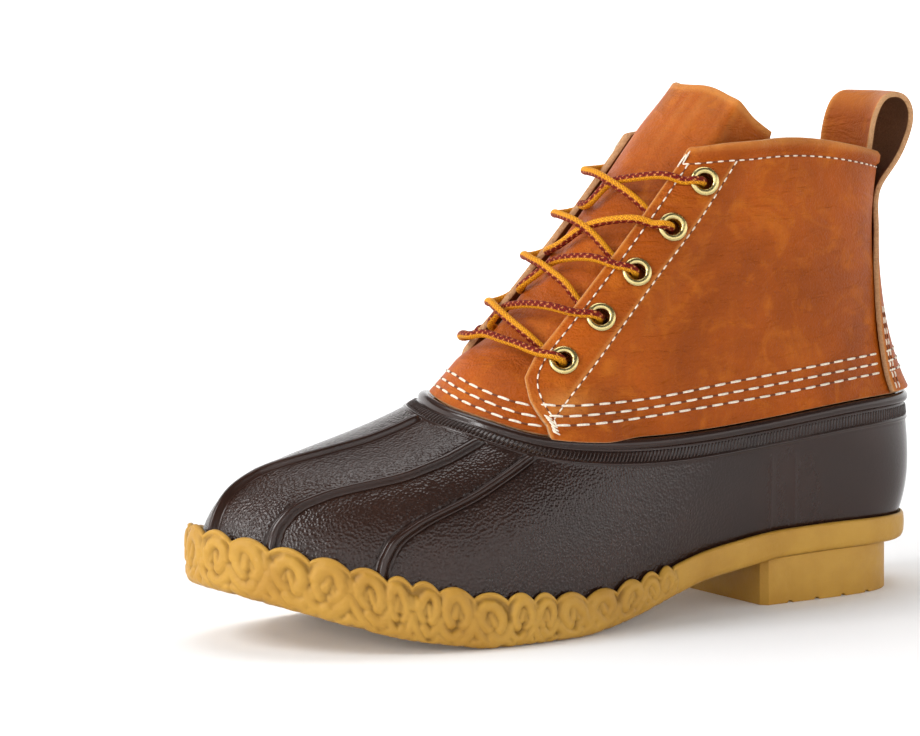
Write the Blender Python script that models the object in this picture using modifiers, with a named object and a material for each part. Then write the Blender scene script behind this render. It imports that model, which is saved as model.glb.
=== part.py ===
"""Left duck boot: leather upper sewn to a moulded rubber bottom, with a chain-tread outsole.

Metres, +Z up, +X to the toe, +Y to the outer (lateral) side. The origin is on the floor under the heel.
"""

import math

import bmesh
import bpy
import numpy as np
from mathutils import Matrix, Vector

# Driving sizes
SOLE_LENGTH = 0.2925
SOLE_BACK = -0.0475
BALL_WIDTH = 0.108
RIM_HEIGHT = 0.083
COLLAR_HEIGHT = 0.168
HEEL_HEIGHT = 0.018
TOE_SPRING = 0.0215
BAND_HEIGHT = 0.020
SOLE_THICKNESS = 0.0055
GAP = 0.0003

# Walls
RUBBER_WALL = 0.0026
LEATHER_WALL = 0.0022
BAND_WALL = 0.0034
BAND_LIP = 0.0014
INSOLE_THICKNESS = 0.0035

# Relief of the rubber bottom
BEAD_HEIGHT = 0.0042
BEAD_PROUD = 0.0013
FLANGE_HEIGHT = 0.0155
RIB_BAND_HEIGHT = 0.0075
RIB_BAND_PROUD = 0.0005
SEAM_WIDTH = 0.0042
SEAM_PROUD = 0.0014
SCALLOP_PITCH = 0.0133
SCALLOP_DEPTH = 0.0021
LINK_PROUD = 0.0009

# One row for each place round the foot, from the back of the heel along the outer side to the toe and back.
# Sole, rim and collar positions are hundredths: x of SOLE_LENGTH from the heel, y of BALL_WIDTH, and z of
# RIM_HEIGHT for the rim or of COLLAR_HEIGHT for the collar. lean, belly and tuck push the wall out or in, in
# hundredths of BALL_WIDTH; rise and drop are hundredths of RIM_HEIGHT; reach is the share of the way out.
LAST_COLUMNS = (
    "sole_x", "sole_y", "rim_x", "rim_y", "rim_z", "collar_x", "collar_y", "collar_z",
    "lean", "rise", "reach", "belly", "drop", "tuck",
)
LAST = (
    (0.0, 0.0, 0.0, 0.0, 89.2, 3.6, 0.0, 97.6, 8.4, 20, 0.00, 1.6, 20, 9.4),
    (4.3, 25.0, 3.5, 22.2, 89.2, 6.4, 18.5, 98.2, 6.4, 20, 0.10, 1.6, 20, 7.6),
    (15.2, 33.3, 13.9, 33.3, 88.6, 15.2, 29.6, 101.0, 3.4, 19, 0.20, 2.2, 20, 3.4),
    (29.9, 35.2, 27.6, 37.5, 84.9, 23.4, 33.3, 102.6, 3.2, 22, 0.30, 1.9, 19, 1.9),
    (45.3, 42.1, 41.2, 39.4, 81.9, 29.2, 33.3, 102.3, 4.2, 24, 0.40, 2.8, 19, 1.4),
    (59.7, 50.5, 52.1, 38.9, 81.9, 33.4, 30.1, 101.6, 4.6, 29, 0.45, 2.8, 18, 0.9),
    (73.3, 50.9, 60.7, 34.3, 84.9, 36.4, 25.0, 100.6, 4.6, 34, 0.50, 3.7, 18, 0.5),
    (86.8, 38.0, 65.8, 23.1, 91.0, 38.6, 16.7, 101.0, 2.8, 43, 0.50, 1.9, 19, 0.6),
    (96.2, 15.7, 68.0, 8.3, 95.6, 40.0, 6.5, 101.0, 0.9, 50, 0.45, 0.0, 24, 1.8),
    (100.0, -10.5, 67.9, -4.6, 98.6, 39.9, -3.7, 101.0, 0.0, 52, 0.45, 0.0, 26, 2.6),
    (95.4, -32.0, 66.1, -16.0, 99.2, 38.6, -13.0, 101.4, 0.9, 50, 0.45, 0.0, 25, 3.0),
    (84.6, -43.2, 61.7, -26.6, 96.2, 35.5, -21.3, 102.0, 2.8, 44, 0.50, 1.4, 22, 2.8),
    (70.6, -46.4, 53.6, -33.9, 91.0, 31.4, -27.8, 102.6, 3.7, 38, 0.50, 2.3, 20, 2.2),
    (52.1, -37.0, 41.2, -36.1, 88.0, 27.2, -31.4, 102.6, 3.7, 31, 0.40, 2.8, 20, 1.9),
    (32.3, -30.6, 26.5, -34.3, 88.0, 21.4, -31.9, 102.2, 3.2, 24, 0.30, 1.9, 20, 1.9),
    (14.5, -31.5, 12.8, -31.5, 89.2, 13.2, -27.8, 100.6, 3.4, 20, 0.20, 2.2, 20, 3.4),
    (4.0, -24.1, 3.1, -21.3, 89.2, 6.1, -17.6, 98.2, 6.4, 20, 0.10, 1.6, 20, 7.6),
)
STATIONS = len(LAST)

# Along the sole: x in hundredths of SOLE_LENGTH, then the height of its underside as shares of HEEL_HEIGHT
# and TOE_SPRING, and the height of its band as a share of BAND_HEIGHT.
SOLE_COLUMNS = ("x", "heel", "spring", "band")
SOLE = (
    (0.0, 1.00, 0.00, 0.50),
    (15.0, 1.02, 0.00, 0.52),
    (24.5, 0.98, 0.00, 0.53),
    (31.0, 0.85, 0.00, 0.56),
    (38.0, 0.70, 0.00, 0.56),
    (43.0, 0.50, 0.00, 0.58),
    (49.0, 0.24, 0.00, 0.68),
    (54.5, 0.07, 0.00, 0.72),
    (59.0, 0.00, 0.00, 0.78),
    (72.0, 0.00, 0.00, 0.95),
    (76.5, 0.00, 0.08, 1.00),
    (82.0, 0.00, 0.22, 1.05),
    (87.0, 0.00, 0.42, 1.05),
    (92.0, 0.00, 0.65, 1.03),
    (100.0, 0.00, 1.00, 1.00),
)
SCALLOPS_FROM = 0.45


def columns(table, names):
    """The table's columns by name, as arrays."""
    return dict(zip(names, np.array(table, float).T))


def closed_spline(values):
    """A closed smooth curve through values, one for each whole number of its parameter."""
    values = np.asarray(values, float)
    count = len(values)
    matrix = 4 * np.eye(count) + np.roll(np.eye(count), 1, 0) + np.roll(np.eye(count), -1, 0)
    bend = np.linalg.solve(matrix, 6 * (np.roll(values, -1) - 2 * values + np.roll(values, 1)))

    def at(u):
        u = np.asarray(u, float) % count
        low = np.floor(u).astype(int) % count
        high = (low + 1) % count
        t = u - np.floor(u)
        s = 1 - t
        return (
            s * values[low]
            + t * values[high]
            + ((s**3 - s) * bend[low] + (t**3 - t) * bend[high]) / 6
        )

    return at


def eased(xs, ys, x):
    """A smooth line through the points xs, ys without overshoot, read at x."""
    xs, ys = np.asarray(xs, float), np.asarray(ys, float)
    step = np.diff(ys) / np.diff(xs)
    slope = np.zeros(len(xs))
    inner = (step[:-1] * step[1:]) > 0
    slope[1:-1][inner] = 2 * step[:-1][inner] * step[1:][inner] / (step[:-1] + step[1:])[inner]
    slope[0], slope[-1] = step[0], step[-1]
    x = np.clip(np.asarray(x, float), xs[0], xs[-1])
    low = np.clip(np.searchsorted(xs, x) - 1, 0, len(xs) - 2)
    width = xs[low + 1] - xs[low]
    t = (x - xs[low]) / width
    return (
        ys[low] * (1 + 2 * t) * (1 - t) ** 2
        + ys[low + 1] * t**2 * (3 - 2 * t)
        + width * (slope[low] * t * (1 - t) ** 2 - slope[low + 1] * t**2 * (1 - t))
    )


def smooth_step(x):
    x = np.clip(x, 0.0, 1.0)
    return x * x * (3 - 2 * x)


LAST_AT = {name: closed_spline(column) for name, column in columns(LAST, LAST_COLUMNS).items()}
SOLE_AT = columns(SOLE, SOLE_COLUMNS)


def along(share):
    """x of a place given in hundredths of the sole's length from the heel."""
    return SOLE_BACK + SOLE_LENGTH * share / 100


def sole_share(x):
    return (np.asarray(x) - SOLE_BACK) / SOLE_LENGTH * 100


def underside(x):
    """Height of the outsole's underside."""
    share = sole_share(x)
    heel = eased(SOLE_AT["x"], SOLE_AT["heel"], share)
    spring = eased(SOLE_AT["x"], SOLE_AT["spring"], share)
    return HEEL_HEIGHT * heel + TOE_SPRING * spring


def band_height(x):
    return BAND_HEIGHT * eased(SOLE_AT["x"], SOLE_AT["band"], sole_share(x))


def outline(u, inset=0.0):
    """The sole's outline seen from above, moved inwards by inset."""
    step = 0.02
    u = np.asarray(u, float)

    def point(w):
        return np.stack(
            [along(LAST_AT["sole_x"](w)), BALL_WIDTH * LAST_AT["sole_y"](w) / 100], -1
        )

    out = outward(point(u + step) - point(u - step))
    return point(u) - inset * out


def outward(tangent):
    """The outward unit normal, seen from above, of a line that runs round the foot along tangent."""
    normal = np.stack([-tangent[..., 1], tangent[..., 0]], -1)
    return normal / np.linalg.norm(normal, axis=-1, keepdims=True)


def plan_normal(u):
    step = 0.02
    return outward(outline(np.asarray(u) + step) - outline(np.asarray(u) - step))


def flat(vector, height=0.0):
    """A plan vector with a height, as 3-D points."""
    height = np.broadcast_to(np.asarray(height, float), vector.shape[:-1])
    return np.concatenate([vector, height[..., None]], -1)


def rim_point(u):
    return np.stack(
        [
            along(LAST_AT["rim_x"](u)),
            BALL_WIDTH * LAST_AT["rim_y"](u) / 100,
            RIM_HEIGHT * LAST_AT["rim_z"](u) / 100,
        ],
        -1,
    )


def collar_point(u):
    return np.stack(
        [
            along(LAST_AT["collar_x"](u)),
            BALL_WIDTH * LAST_AT["collar_y"](u) / 100,
            COLLAR_HEIGHT * LAST_AT["collar_z"](u) / 100,
        ],
        -1,
    )


def bezier(points, v):
    v = np.asarray(v, float)[..., None]
    s = 1 - v
    return (
        s**3 * points[0] + 3 * s**2 * v * points[1] + 3 * s * v**2 * points[2] + v**3 * points[3]
    )


def rubber_base(u, v):
    """The rubber bottom's outer face: v 0 on the sole, 1 at the rim."""
    u, v = np.broadcast_arrays(np.asarray(u, float), np.asarray(v, float))
    foot = outline(u, BAND_WALL + GAP)
    foot_height = underside(foot[..., 0]) + SOLE_THICKNESS + GAP
    out = flat(plan_normal(u))
    low = flat(foot, foot_height)
    rim = rim_point(u)
    up = np.array([0.0, 0.0, 1.0])
    across = BALL_WIDTH / 100
    tall = RIM_HEIGHT / 100
    lift = (LAST_AT["rise"](u) * tall)[..., None]
    fall = (LAST_AT["drop"](u) * tall)[..., None]
    one = low + out * (LAST_AT["lean"](u) * across)[..., None] + up * lift
    way = flat(foot - rim[..., :2])
    two = (
        rim
        + way * LAST_AT["reach"](u)[..., None]
        + out * (LAST_AT["belly"](u) * across)[..., None]
        - up * fall
    )
    return bezier((low, one, two, rim), v)


SHAFT_CONTROLS = (0.25, 0.62)


def shaft_base(u, v):
    """The leather's outer face over the rubber's rim: v 0 at the rim, 1 at the collar, and beyond it above."""
    u, v = np.broadcast_arrays(np.asarray(u, float), np.asarray(v, float))
    rim, collar = rim_point(u), collar_point(u)
    pull = flat(plan_normal(u)) * (LAST_AT["tuck"](u) * BALL_WIDTH / 100)[..., None]
    one, two = (rim + share * (collar - rim) - pull for share in SHAFT_CONTROLS)
    inside = bezier((rim, one, two, collar), np.minimum(v, 1.0))
    return inside + 3 * (collar - two) * np.maximum(v - 1.0, 0.0)[..., None]


def pushed(surface, u, v, out):
    """A point of surface moved outwards by out along its normal."""
    step = 0.01
    u, v = np.broadcast_arrays(np.asarray(u, float), np.asarray(v, float))
    low = np.maximum(v - step, 0.0)
    round_foot = surface(u + step, v) - surface(u - step, v)
    upward = surface(u, low + 2 * step) - surface(u, low)
    normal = np.cross(upward, round_foot)
    normal = normal / np.linalg.norm(normal, axis=-1, keepdims=True)
    return surface(u, v) + normal * np.asarray(out, float)[..., None]


def v_at_height(surface, u, height):
    """Where round place u a surface reaches a height."""
    fine = np.linspace(0.0, 1.0, 81)
    heights = surface(np.asarray(u, float)[:, None], fine[None, :])[..., 2]
    return np.array([np.interp(h, z, fine) for h, z in zip(np.broadcast_to(height, len(u)), heights)])


def v_from_end(surface, u, length, end):
    """Where a surface is the given length from its lower (0) or upper (1) end, along the wall."""
    fine = np.linspace(0.0, 1.0, 81)
    points = surface(np.asarray(u, float)[:, None], fine[None, :])
    steps = np.linalg.norm(np.diff(points, axis=1), axis=-1)
    run = np.concatenate([np.zeros((len(steps), 1)), np.cumsum(steps, 1)], 1)
    if end:
        return np.array([np.interp(r[-1] - length, r, fine) for r in run])
    return np.array([np.interp(length, r, fine) for r in run])


def even_places(count, start=0.0, end=float(STATIONS)):
    """count places round the foot, evenly spaced along the sole's outline."""
    fine = np.linspace(start, end, 1200)
    points = outline(fine)
    run = np.concatenate([[0.0], np.cumsum(np.linalg.norm(np.diff(points, axis=0), axis=1))])
    whole = abs(end - start - STATIONS) < 1e-9
    wanted = np.linspace(0.0, run[-1], count, endpoint=not whole)
    return np.interp(wanted, run, fine)


# Throat and tongue. v runs from the rim (0) to the collar (1); edge is the front edge of the outer quarter and
# wing the outer edge of the tongue, both as places round the foot.
THROAT_COLUMNS = ("v", "edge", "wing")
THROAT = (
    (0.00, 5.88, 5.42),
    (0.05, 6.03, 5.52),
    (0.13, 6.51, 5.98),
    (0.20, 6.81, 6.28),
    (0.29, 6.86, 6.32),
    (0.43, 6.72, 6.10),
    (0.58, 6.58, 5.70),
    (0.72, 6.44, 5.10),
    (0.86, 6.27, 4.20),
    (1.00, 6.06, 3.40),
    (1.30, 5.60, 3.10),
)
THROAT_AT = columns(THROAT, THROAT_COLUMNS)
TOE_LINE = 8.9
THROAT_CENTRE = 8.8
OVERLAP_FULL = 0.020
OVERLAP_END = 0.036
TONGUE_WALL = 0.0022
TONGUE_DEPTH = 0.0040
TONGUE_DIVE = (0.15, 0.17)
WING_DEPTH = 0.0060
TONGUE_TOP = 1.25
TONGUE_FALL = 0.235
TOPLINE_HEIGHT = 0.0045
TOPLINE_PROUD = 0.0008
LEATHER_FOOT = 0.0009
OVER_BEAD = 0.0008
SHAFT_LENGTH = COLLAR_HEIGHT - RIM_HEIGHT

# Eyelets of one side from the top down: place round the foot and v on the outer side.
EYELET_COLUMNS = ("u", "v")
EYELETS = ((5.14, 0.887), (5.49, 0.750), (5.83, 0.606), (6.09, 0.450), (6.33, 0.285))
EYELET_RADIUS = 0.00525
EYELET_HOLE = 0.00275
EYELET_BARREL = 0.0034
EYELET_RISE = 0.0012
EYELET_TAIL = 0.0009
PUNCH_RADIUS = 0.0037
EYELET_SIDES = 10
PUNCH_SIDES = 12
LACE_RADIUS = 0.0016

# Raised seams of the vamp, outer, inner and middle: v, then the place round the foot of each.
SEAM_COLUMNS = ("v", "outer", "inner", "middle")
SEAMS = (
    (0.00, 6.84, 7.90, 8.80),
    (0.12, 6.87, 7.96, 8.87),
    (0.20, 6.88, 7.98, 8.95),
    (0.31, 6.85, 7.93, 9.05),
    (0.43, 6.70, 7.70, 9.00),
    (0.60, 6.39, 7.22, 8.70),
    (0.75, 6.18, 6.98, 8.50),
    (0.88, 6.00, 6.85, 8.42),
    (1.00, 5.86, 6.74, 8.40),
)
SEAM_AT = columns(SEAMS, SEAM_COLUMNS)

# Back strip: v, then its half width in millimetres.
STRIP = ((0.0, 32), (0.1, 30), (0.2, 28), (0.4, 25), (0.62, 21), (0.82, 17), (0.90, 16))
STRIP_WALL = 0.0020
STRIP_GAP = 0.0005
STRIP_LEAVES = 0.86
# The pull loop from the back of the boot over the collar to its inside: x and z in millimetres from the
# collar's back edge, and the half width in millimetres.
LOOP = (
    (-6.0, -7.0, 15.5), (-11.0, -1.0, 15.2), (-14.6, 5.5, 15), (-16.6, 12.0, 15), (-15.8, 18.0, 15),
    (-12.4, 21.8, 15), (-7.6, 23.0, 15), (-2.4, 21.6, 15), (1.4, 17.0, 15), (3.6, 11.0, 15),
    (4.8, 4.5, 15),
)
LOOP_BOW = 0.0042
STRIP_INSIDE = (0.955, 0.87, 0.78)

# Heel block
BREAST = 0.0335
HEEL_INSET = 0.0032
HEEL_BACK_INSET = 0.0060
HEEL_CHAMFER = 0.0012
HEEL_NOTCH = 0.0010
NOTCH_PITCH = 0.0125
NOTCH_WIDTH = 0.0020

# Mesh steps
SCALLOP_STEPS = 3
HEEL_STEPS = 30
HEEL_CROWDING = 0.09
SHELL_STEPS = 30
BETWEEN_SEAMS = (1, 2, 2, 1)
TONGUE_STEPS = 17
STRIP_STEPS = 7
INSOLE_STEPS = 46
UPPER_STEPS = 37
UPPER_CROWDING = 0.02
FLANGE_WALL = 0.0012
FLANGE_GAP = 0.0007

COLOURS = {
    "sole_rubber": ((0.56, 0.38, 0.13), 0.55, 0.0),
    "shell_rubber": ((0.045, 0.03, 0.024), 0.42, 0.0),
    "leather": ((0.40, 0.14, 0.03), 0.5, 0.0),
    "footbed": ((0.25, 0.16, 0.09), 0.9, 0.0),
    "brass": ((0.62, 0.50, 0.27), 0.25, 1.0),
    "lace": ((0.62, 0.27, 0.04), 0.8, 0.0),
}


def material(name):
    """One Principled material for a node."""
    made = bpy.data.materials.get(name) or bpy.data.materials.new(name)
    colour, roughness, metallic = COLOURS[name]
    made.use_nodes = True
    shader = made.node_tree.nodes["Principled BSDF"]
    shader.inputs["Base Color"].default_value = (*colour, 1.0)
    shader.inputs["Roughness"].default_value = roughness
    shader.inputs["Metallic"].default_value = metallic
    made.diffuse_color = (*colour, 1.0)
    return made


def collection(name):
    made = bpy.data.collections.new(name)
    bpy.context.scene.collection.children.link(made)
    return made


def add(name, points, faces, place, look):
    """A mesh object from points and faces, its faces turned outwards."""
    mesh = bpy.data.meshes.new(name)
    mesh.from_pydata([tuple(p) for p in points], [], faces)
    work = bmesh.new()
    work.from_mesh(mesh)
    bmesh.ops.triangulate(work, faces=work.faces, quad_method="BEAUTY", ngon_method="BEAUTY")
    bmesh.ops.recalc_face_normals(work, faces=work.faces)
    work.to_mesh(mesh)
    work.free()
    made = bpy.data.objects.new(name, mesh)
    place.objects.link(made)
    if look:
        mesh.materials.append(material(look))
        mesh.polygons.foreach_set("use_smooth", [True] * len(mesh.polygons))
        mesh.set_sharp_from_angle(angle=math.radians(35))
    return made


def ladder(first, count, spine):
    """Faces that cap a ring of count points from first, rung by rung from heel to toe, over a spine of points."""
    half = count // 2
    last = spine + half - 2
    faces = [(first, first + 1, spine), (first, spine, first + count - 1)]
    faces += [(first + half, last, first + half - 1), (first + half, first + half + 1, last)]
    for i in range(1, half - 1):
        a, b = first + i, first + count - i
        m = spine + i - 1
        faces += [(a, a + 1, m + 1, m), (b, m, m + 1, b - 1)]
    return faces


def spine_of(ring, height):
    """Points midway between the two sides of a ring, from heel to toe, at the height given for each x."""
    half = len(ring) // 2
    pairs = np.arange(1, half)
    middle = (ring[pairs] + ring[len(ring) - pairs]) / 2
    lift = middle[:, 2] - (height(ring[pairs, 0]) + height(ring[len(ring) - pairs, 0])) / 2
    middle[:, 2] = height(middle[:, 0]) + lift
    return middle


def ring_solid(name, rings, caps, place, look):
    """A solid from rings of points; capped at both ends by heights caps gives, or joined last to first."""
    count, total = len(rings[0]), len(rings)
    faces = []
    for low in range(total - 1 if caps else total):
        high = (low + 1) % total
        for i in range(count):
            j = (i + 1) % count
            faces.append((low * count + i, low * count + j, high * count + j, high * count + i))
    points = list(rings)
    if caps:
        spines = [spine_of(rings[0], caps[0]), spine_of(rings[-1], caps[1])]
        faces += ladder(0, count, total * count)
        faces += ladder((total - 1) * count, count, total * count + len(spines[0]))
        points += spines
    return add(name, np.concatenate(points), faces, place, look)


def slab(name, outer, inner, place, look):
    """A wall between two equal grids of points, closed round its edges."""
    rows, count = outer.shape[:2]
    deep = rows * count
    faces = []
    for r in range(rows - 1):
        for c in range(count - 1):
            a = r * count + c
            faces.append((a, a + 1, a + count + 1, a + count))
            faces.append((deep + a, deep + a + count, deep + a + count + 1, deep + a + 1))
    for c in range(count - 1):
        top = (rows - 1) * count + c
        faces.append((c, deep + c, deep + c + 1, c + 1))
        faces.append((top, top + 1, deep + top + 1, deep + top))
    for r in range(rows - 1):
        a, b = r * count, r * count + count - 1
        faces.append((a, a + count, deep + a + count, deep + a))
        faces.append((b, deep + b, deep + b + count, b + count))
    points = np.concatenate([outer.reshape(-1, 3), inner.reshape(-1, 3)])
    return add(name, points, faces, place, look)


def grid_normals(grid):
    """Unit normals of a grid of points, rows by columns."""
    up = np.gradient(grid, axis=0)
    across = np.gradient(grid, axis=1)
    normal = np.cross(up, across)
    return normal / np.linalg.norm(normal, axis=-1, keepdims=True)


def apply_modifiers(thing):
    bpy.context.view_layer.update()
    ready = thing.evaluated_get(bpy.context.evaluated_depsgraph_get())
    mesh = bpy.data.meshes.new_from_object(ready)
    thing.modifiers.clear()
    thing.data = mesh


def combine(thing, other, operation):
    """Boolean of two solids, the other given up when joined."""
    step = thing.modifiers.new(operation.lower(), "BOOLEAN")
    step.operation = operation
    step.object = other
    step.solver = "EXACT"
    apply_modifiers(thing)


# Outsole
def scallop_places():
    """Places round the foot for the outsole's columns, and the phase of the scallop wave at each."""
    fine = np.linspace(0.0, STATIONS, 3000)
    share = sole_share(outline(fine)[:, 0]) / 100
    front = fine[share > SCALLOPS_FROM]
    start, end = front[0], front[-1]
    run = outline(np.linspace(start, end, 800))
    length = np.linalg.norm(np.diff(run, axis=0), axis=1).sum()
    scallops = 2 * round(length / SCALLOP_PITCH / 2)
    forward = even_places(scallops * SCALLOP_STEPS + 1, start, end)
    back = even_places(600, end - STATIONS, start)
    share = np.linspace(0.0, 1.0, HEEL_STEPS + 1)[1:-1]
    share = share + HEEL_CROWDING * np.sin(2 * math.pi * share)
    back = np.interp(share, np.linspace(0.0, 1.0, len(back)), back)
    phase = np.arange(len(forward)) % SCALLOP_STEPS / SCALLOP_STEPS
    places = np.concatenate([forward, back + STATIONS])
    phases = np.concatenate([phase, np.zeros(len(back))])
    numbers = np.concatenate([np.arange(len(forward)) // SCALLOP_STEPS, np.zeros(len(back), int)])
    active = np.concatenate([np.ones(len(forward)), np.zeros(len(back))])
    heel = int(np.argmin(np.abs(places - STATIONS)))
    turn = [np.roll(a, -heel) for a in (places % STATIONS, phases, numbers, active)]
    return turn


def make_outsole(place):
    u, phase, number, active = scallop_places()
    wave = np.where(active > 0, np.where(phase == 0, 0.0, 1.0), 0.5)
    edge = outline(u)
    out = plan_normal(u)
    height = band_height(edge[:, 0])
    top = height + SCALLOP_DEPTH * (wave - 0.5) * active
    odd = np.where(number % 2 == 0, 1.0, -1.0)

    def ring(inset, lift):
        line = edge - out * np.broadcast_to(inset, u.shape)[:, None]
        return flat(line, underside(line[:, 0]) + lift)

    valley = LINK_PROUD * active * (phase == 0)
    hill = LINK_PROUD * active * (phase > 0)
    rings = [
        ring(BAND_WALL - BAND_LIP / 4, valley),
        ring(BAND_WALL / 2 - hill / 2, BAND_WALL / 2 + valley / 2),
        ring(-hill * odd / 2, height * 0.35),
        ring(hill * odd / 2 - valley, height * 0.72),
    ]
    # The lip's inner line and the floor corner follow the rubber's face, so the wall stays clear of it.
    floor = underside(edge[:, 0])
    lip = rubber_reach(u, floor + top, edge, out)
    lip_out = np.maximum(lip + BAND_LIP / 2, BAND_LIP - BAND_WALL)
    rings.append(flat(edge + out * lip_out[:, None], floor + top))
    for share in (1.0, 0.66, 0.33):
        height = floor + SOLE_THICKNESS + share * (top - SOLE_THICKNESS)
        reach = rubber_reach(u, height, edge, out)
        rings.append(flat(edge + out * reach[:, None], height))
    rings.append(ring(BAND_WALL, SOLE_THICKNESS))
    caps = (underside, lambda x: underside(x) + SOLE_THICKNESS)
    return ring_solid("outsole", rings, caps, place, "sole_rubber")


def rubber_reach(u, height, edge, out):
    """How far out from the sole's edge a point just clear of the rubber's face lies at a height."""
    v = v_at_height(rubber_base, u, height)
    face = rubber_base(u, v)
    return np.maximum(((face[:, :2] - edge) * out).sum(1) + 1.3 * GAP, -BAND_WALL)


def make_heel(place):
    """The heel block, lofted from the breast to the back."""
    fine = np.linspace(0.0, STATIONS, 4000)
    line = outline(fine, HEEL_INSET)
    behind = np.minimum(line[:, 0], 0.0) / line[:, 0].min()
    line[:, 0] += HEEL_BACK_INSET * behind
    back = line[:, 0].min()
    notches = np.arange(1, 5) * NOTCH_PITCH
    marks = [BREAST]
    for notch in notches:
        centre = BREAST - notch
        marks += [centre + NOTCH_WIDTH / 2, centre + NOTCH_WIDTH / 2 - 1e-4]
        marks += [centre - NOTCH_WIDTH / 2 + 1e-4, centre - NOTCH_WIDTH / 2]
    bend = back + (marks[-1] - back) * (1 - np.cos(np.linspace(math.pi / 2, 0.10, 8))[::-1])
    xs = np.array(sorted(set(marks) | set(bend[bend < marks[-1] - 0.001]), reverse=True))
    rungs = []
    for x in xs:
        near = np.where(np.diff(np.sign(line[:, 0] - x)) != 0)[0]
        ys = line[near, 1]
        left, right = ys[ys > 0].min() if x > 0 else ys.max(), ys.min()
        notched = any(abs(x - (BREAST - n)) < NOTCH_WIDTH / 2 - 5e-5 for n in notches)
        ground = HEEL_NOTCH if notched else 0.0
        roof = float(underside(x)) - GAP
        loop = [
            (left - HEEL_CHAMFER, ground), (left, max(HEEL_CHAMFER, ground + 2e-4)), (left, roof),
            (right, roof), (right, max(HEEL_CHAMFER, ground + 2e-4)), (right + HEEL_CHAMFER, ground),
        ]
        rungs.append([(x, y, z) for y, z in loop])
    count = len(rungs[0])
    faces = [tuple(range(count)), tuple(range((len(rungs) - 1) * count, len(rungs) * count))]
    for r in range(len(rungs) - 1):
        for i in range(count):
            j = (i + 1) % count
            faces.append((r * count + i, r * count + j, (r + 1) * count + j, (r + 1) * count + i))
    return add("heel", np.array(rungs).reshape(-1, 3), faces, place, "sole_rubber")


def seam_lines(v):
    """Places round the foot of the five raised seams at height v, mirrored about the toe line."""
    v = np.clip(v, 0, 1)
    outer, inner, middle = (np.interp(v, SEAM_AT["v"], SEAM_AT[n]) for n in SEAM_COLUMNS[1:])
    return np.array([outer, inner, middle, 2 * TOE_LINE + 0.2 - inner, 2 * TOE_LINE + 0.2 - outer])


def shell_columns(v):
    """Places round the foot of the shell's columns at one height v, and how far each stands on a seam."""
    seams = seam_lines(v)
    level = np.full(len(seams), float(v))
    per_place = np.linalg.norm(rubber_base(seams + 0.05, level) - rubber_base(seams, level), axis=1) / 0.05
    places, proud = [], []
    for seam, wide in zip(seams, SEAM_WIDTH / 2 / per_place):
        places += [seam - wide, seam - wide * 0.35, seam + wide * 0.35, seam + wide]
        proud += [0.0, 1.0, 1.0, 0.0]
    for gap, steps in enumerate(BETWEEN_SEAMS):
        start, end = places[4 * gap + 3], places[4 * gap + 4]
        between = np.linspace(start, end, steps + 2)[1:-1]
        places += list(between)
        proud += [0.0] * steps
    rest = np.linspace(max(places) - STATIONS, min(places), SHELL_STEPS + 2)[1:-1]
    places += list(rest + STATIONS)
    proud += [0.0] * len(rest)
    order = np.argsort(places)
    return np.array(places)[order], np.array(proud)[order]


def make_shell(place):
    """The moulded rubber bottom: outer face, rim bead, sewing flange, then back down the inside."""
    fine = np.linspace(0.0, 1.0, 21)
    table = np.array([shell_columns(v)[0] for v in fine])
    proud = shell_columns(0.5)[1]
    count = len(proud)

    def columns_at(v):
        v = np.broadcast_to(np.asarray(v, float), (count,))
        return np.array([np.interp(v[c], fine, table[:, c]) for c in range(count)])

    def settle(v_of):
        u = columns_at(0.5)
        for _ in range(4):
            u = columns_at(v_of(u))
        return u, v_of(u)

    def over_band(height):
        """Columns where the face stands the given height over the sole's band."""
        def v_of(u):
            x = outline(u)[:, 0]
            return v_at_height(rubber_base, u, underside(x) + band_height(x) + height)
        return settle(v_of)

    def below_rim(length):
        return settle(lambda u: v_from_end(rubber_base, u, length, 1))

    rings = []
    u_band, v_band = over_band(SCALLOP_DEPTH / 2 + 0.0006)
    for share in (0.0, 0.5):
        v = v_band * share
        rings.append(pushed(rubber_base, columns_at(v), v, 0.0 * v))
    rings.append(pushed(rubber_base, u_band, v_band, 0.0 * v_band))
    u_low, v_low = over_band(SCALLOP_DEPTH / 2 + SEAM_PROUD * 2)
    rings.append(pushed(rubber_base, u_low, v_low, proud * SEAM_PROUD))
    u_high, v_high = below_rim(BEAD_HEIGHT + RIB_BAND_HEIGHT + 0.0008)
    for share in (0.16, 0.33, 0.50, 0.67, 0.84, 1.0):
        v = v_low + share * (v_high - v_low)
        rings.append(pushed(rubber_base, columns_at(v), v, proud * SEAM_PROUD))
    for length, out in (
        (BEAD_HEIGHT + RIB_BAND_HEIGHT, RIB_BAND_PROUD), (BEAD_HEIGHT + 0.0003, RIB_BAND_PROUD),
        (BEAD_HEIGHT * 0.85, BEAD_PROUD), (BEAD_HEIGHT * 0.25, BEAD_PROUD),
    ):
        u, v = below_rim(length)
        rings.append(pushed(rubber_base, u, v, out + 0.0 * v))
    u = columns_at(1.0)
    rings.append(pushed(rubber_base, u, 1.0, BEAD_PROUD / 4 + 0.0 * u))
    inward = LEATHER_WALL + FLANGE_GAP
    tall = v_from_end(shaft_base, u, FLANGE_HEIGHT, 0)
    for out in (-inward, -inward - FLANGE_WALL):
        levels = (0.0, 0.5, 1.0) if out == -inward else (1.0, 0.5, 0.0)
        rings += [pushed(shaft_base, u, tall * level, out + 0.0 * u) for level in levels]
    for level in (0.72, 0.42, 0.16, 0.0):
        rings.append(pushed(rubber_base, columns_at(level), level, -RUBBER_WALL + 0.0 * u))
    return ring_solid("rubber_shell", rings, None, place, "shell_rubber")


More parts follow.
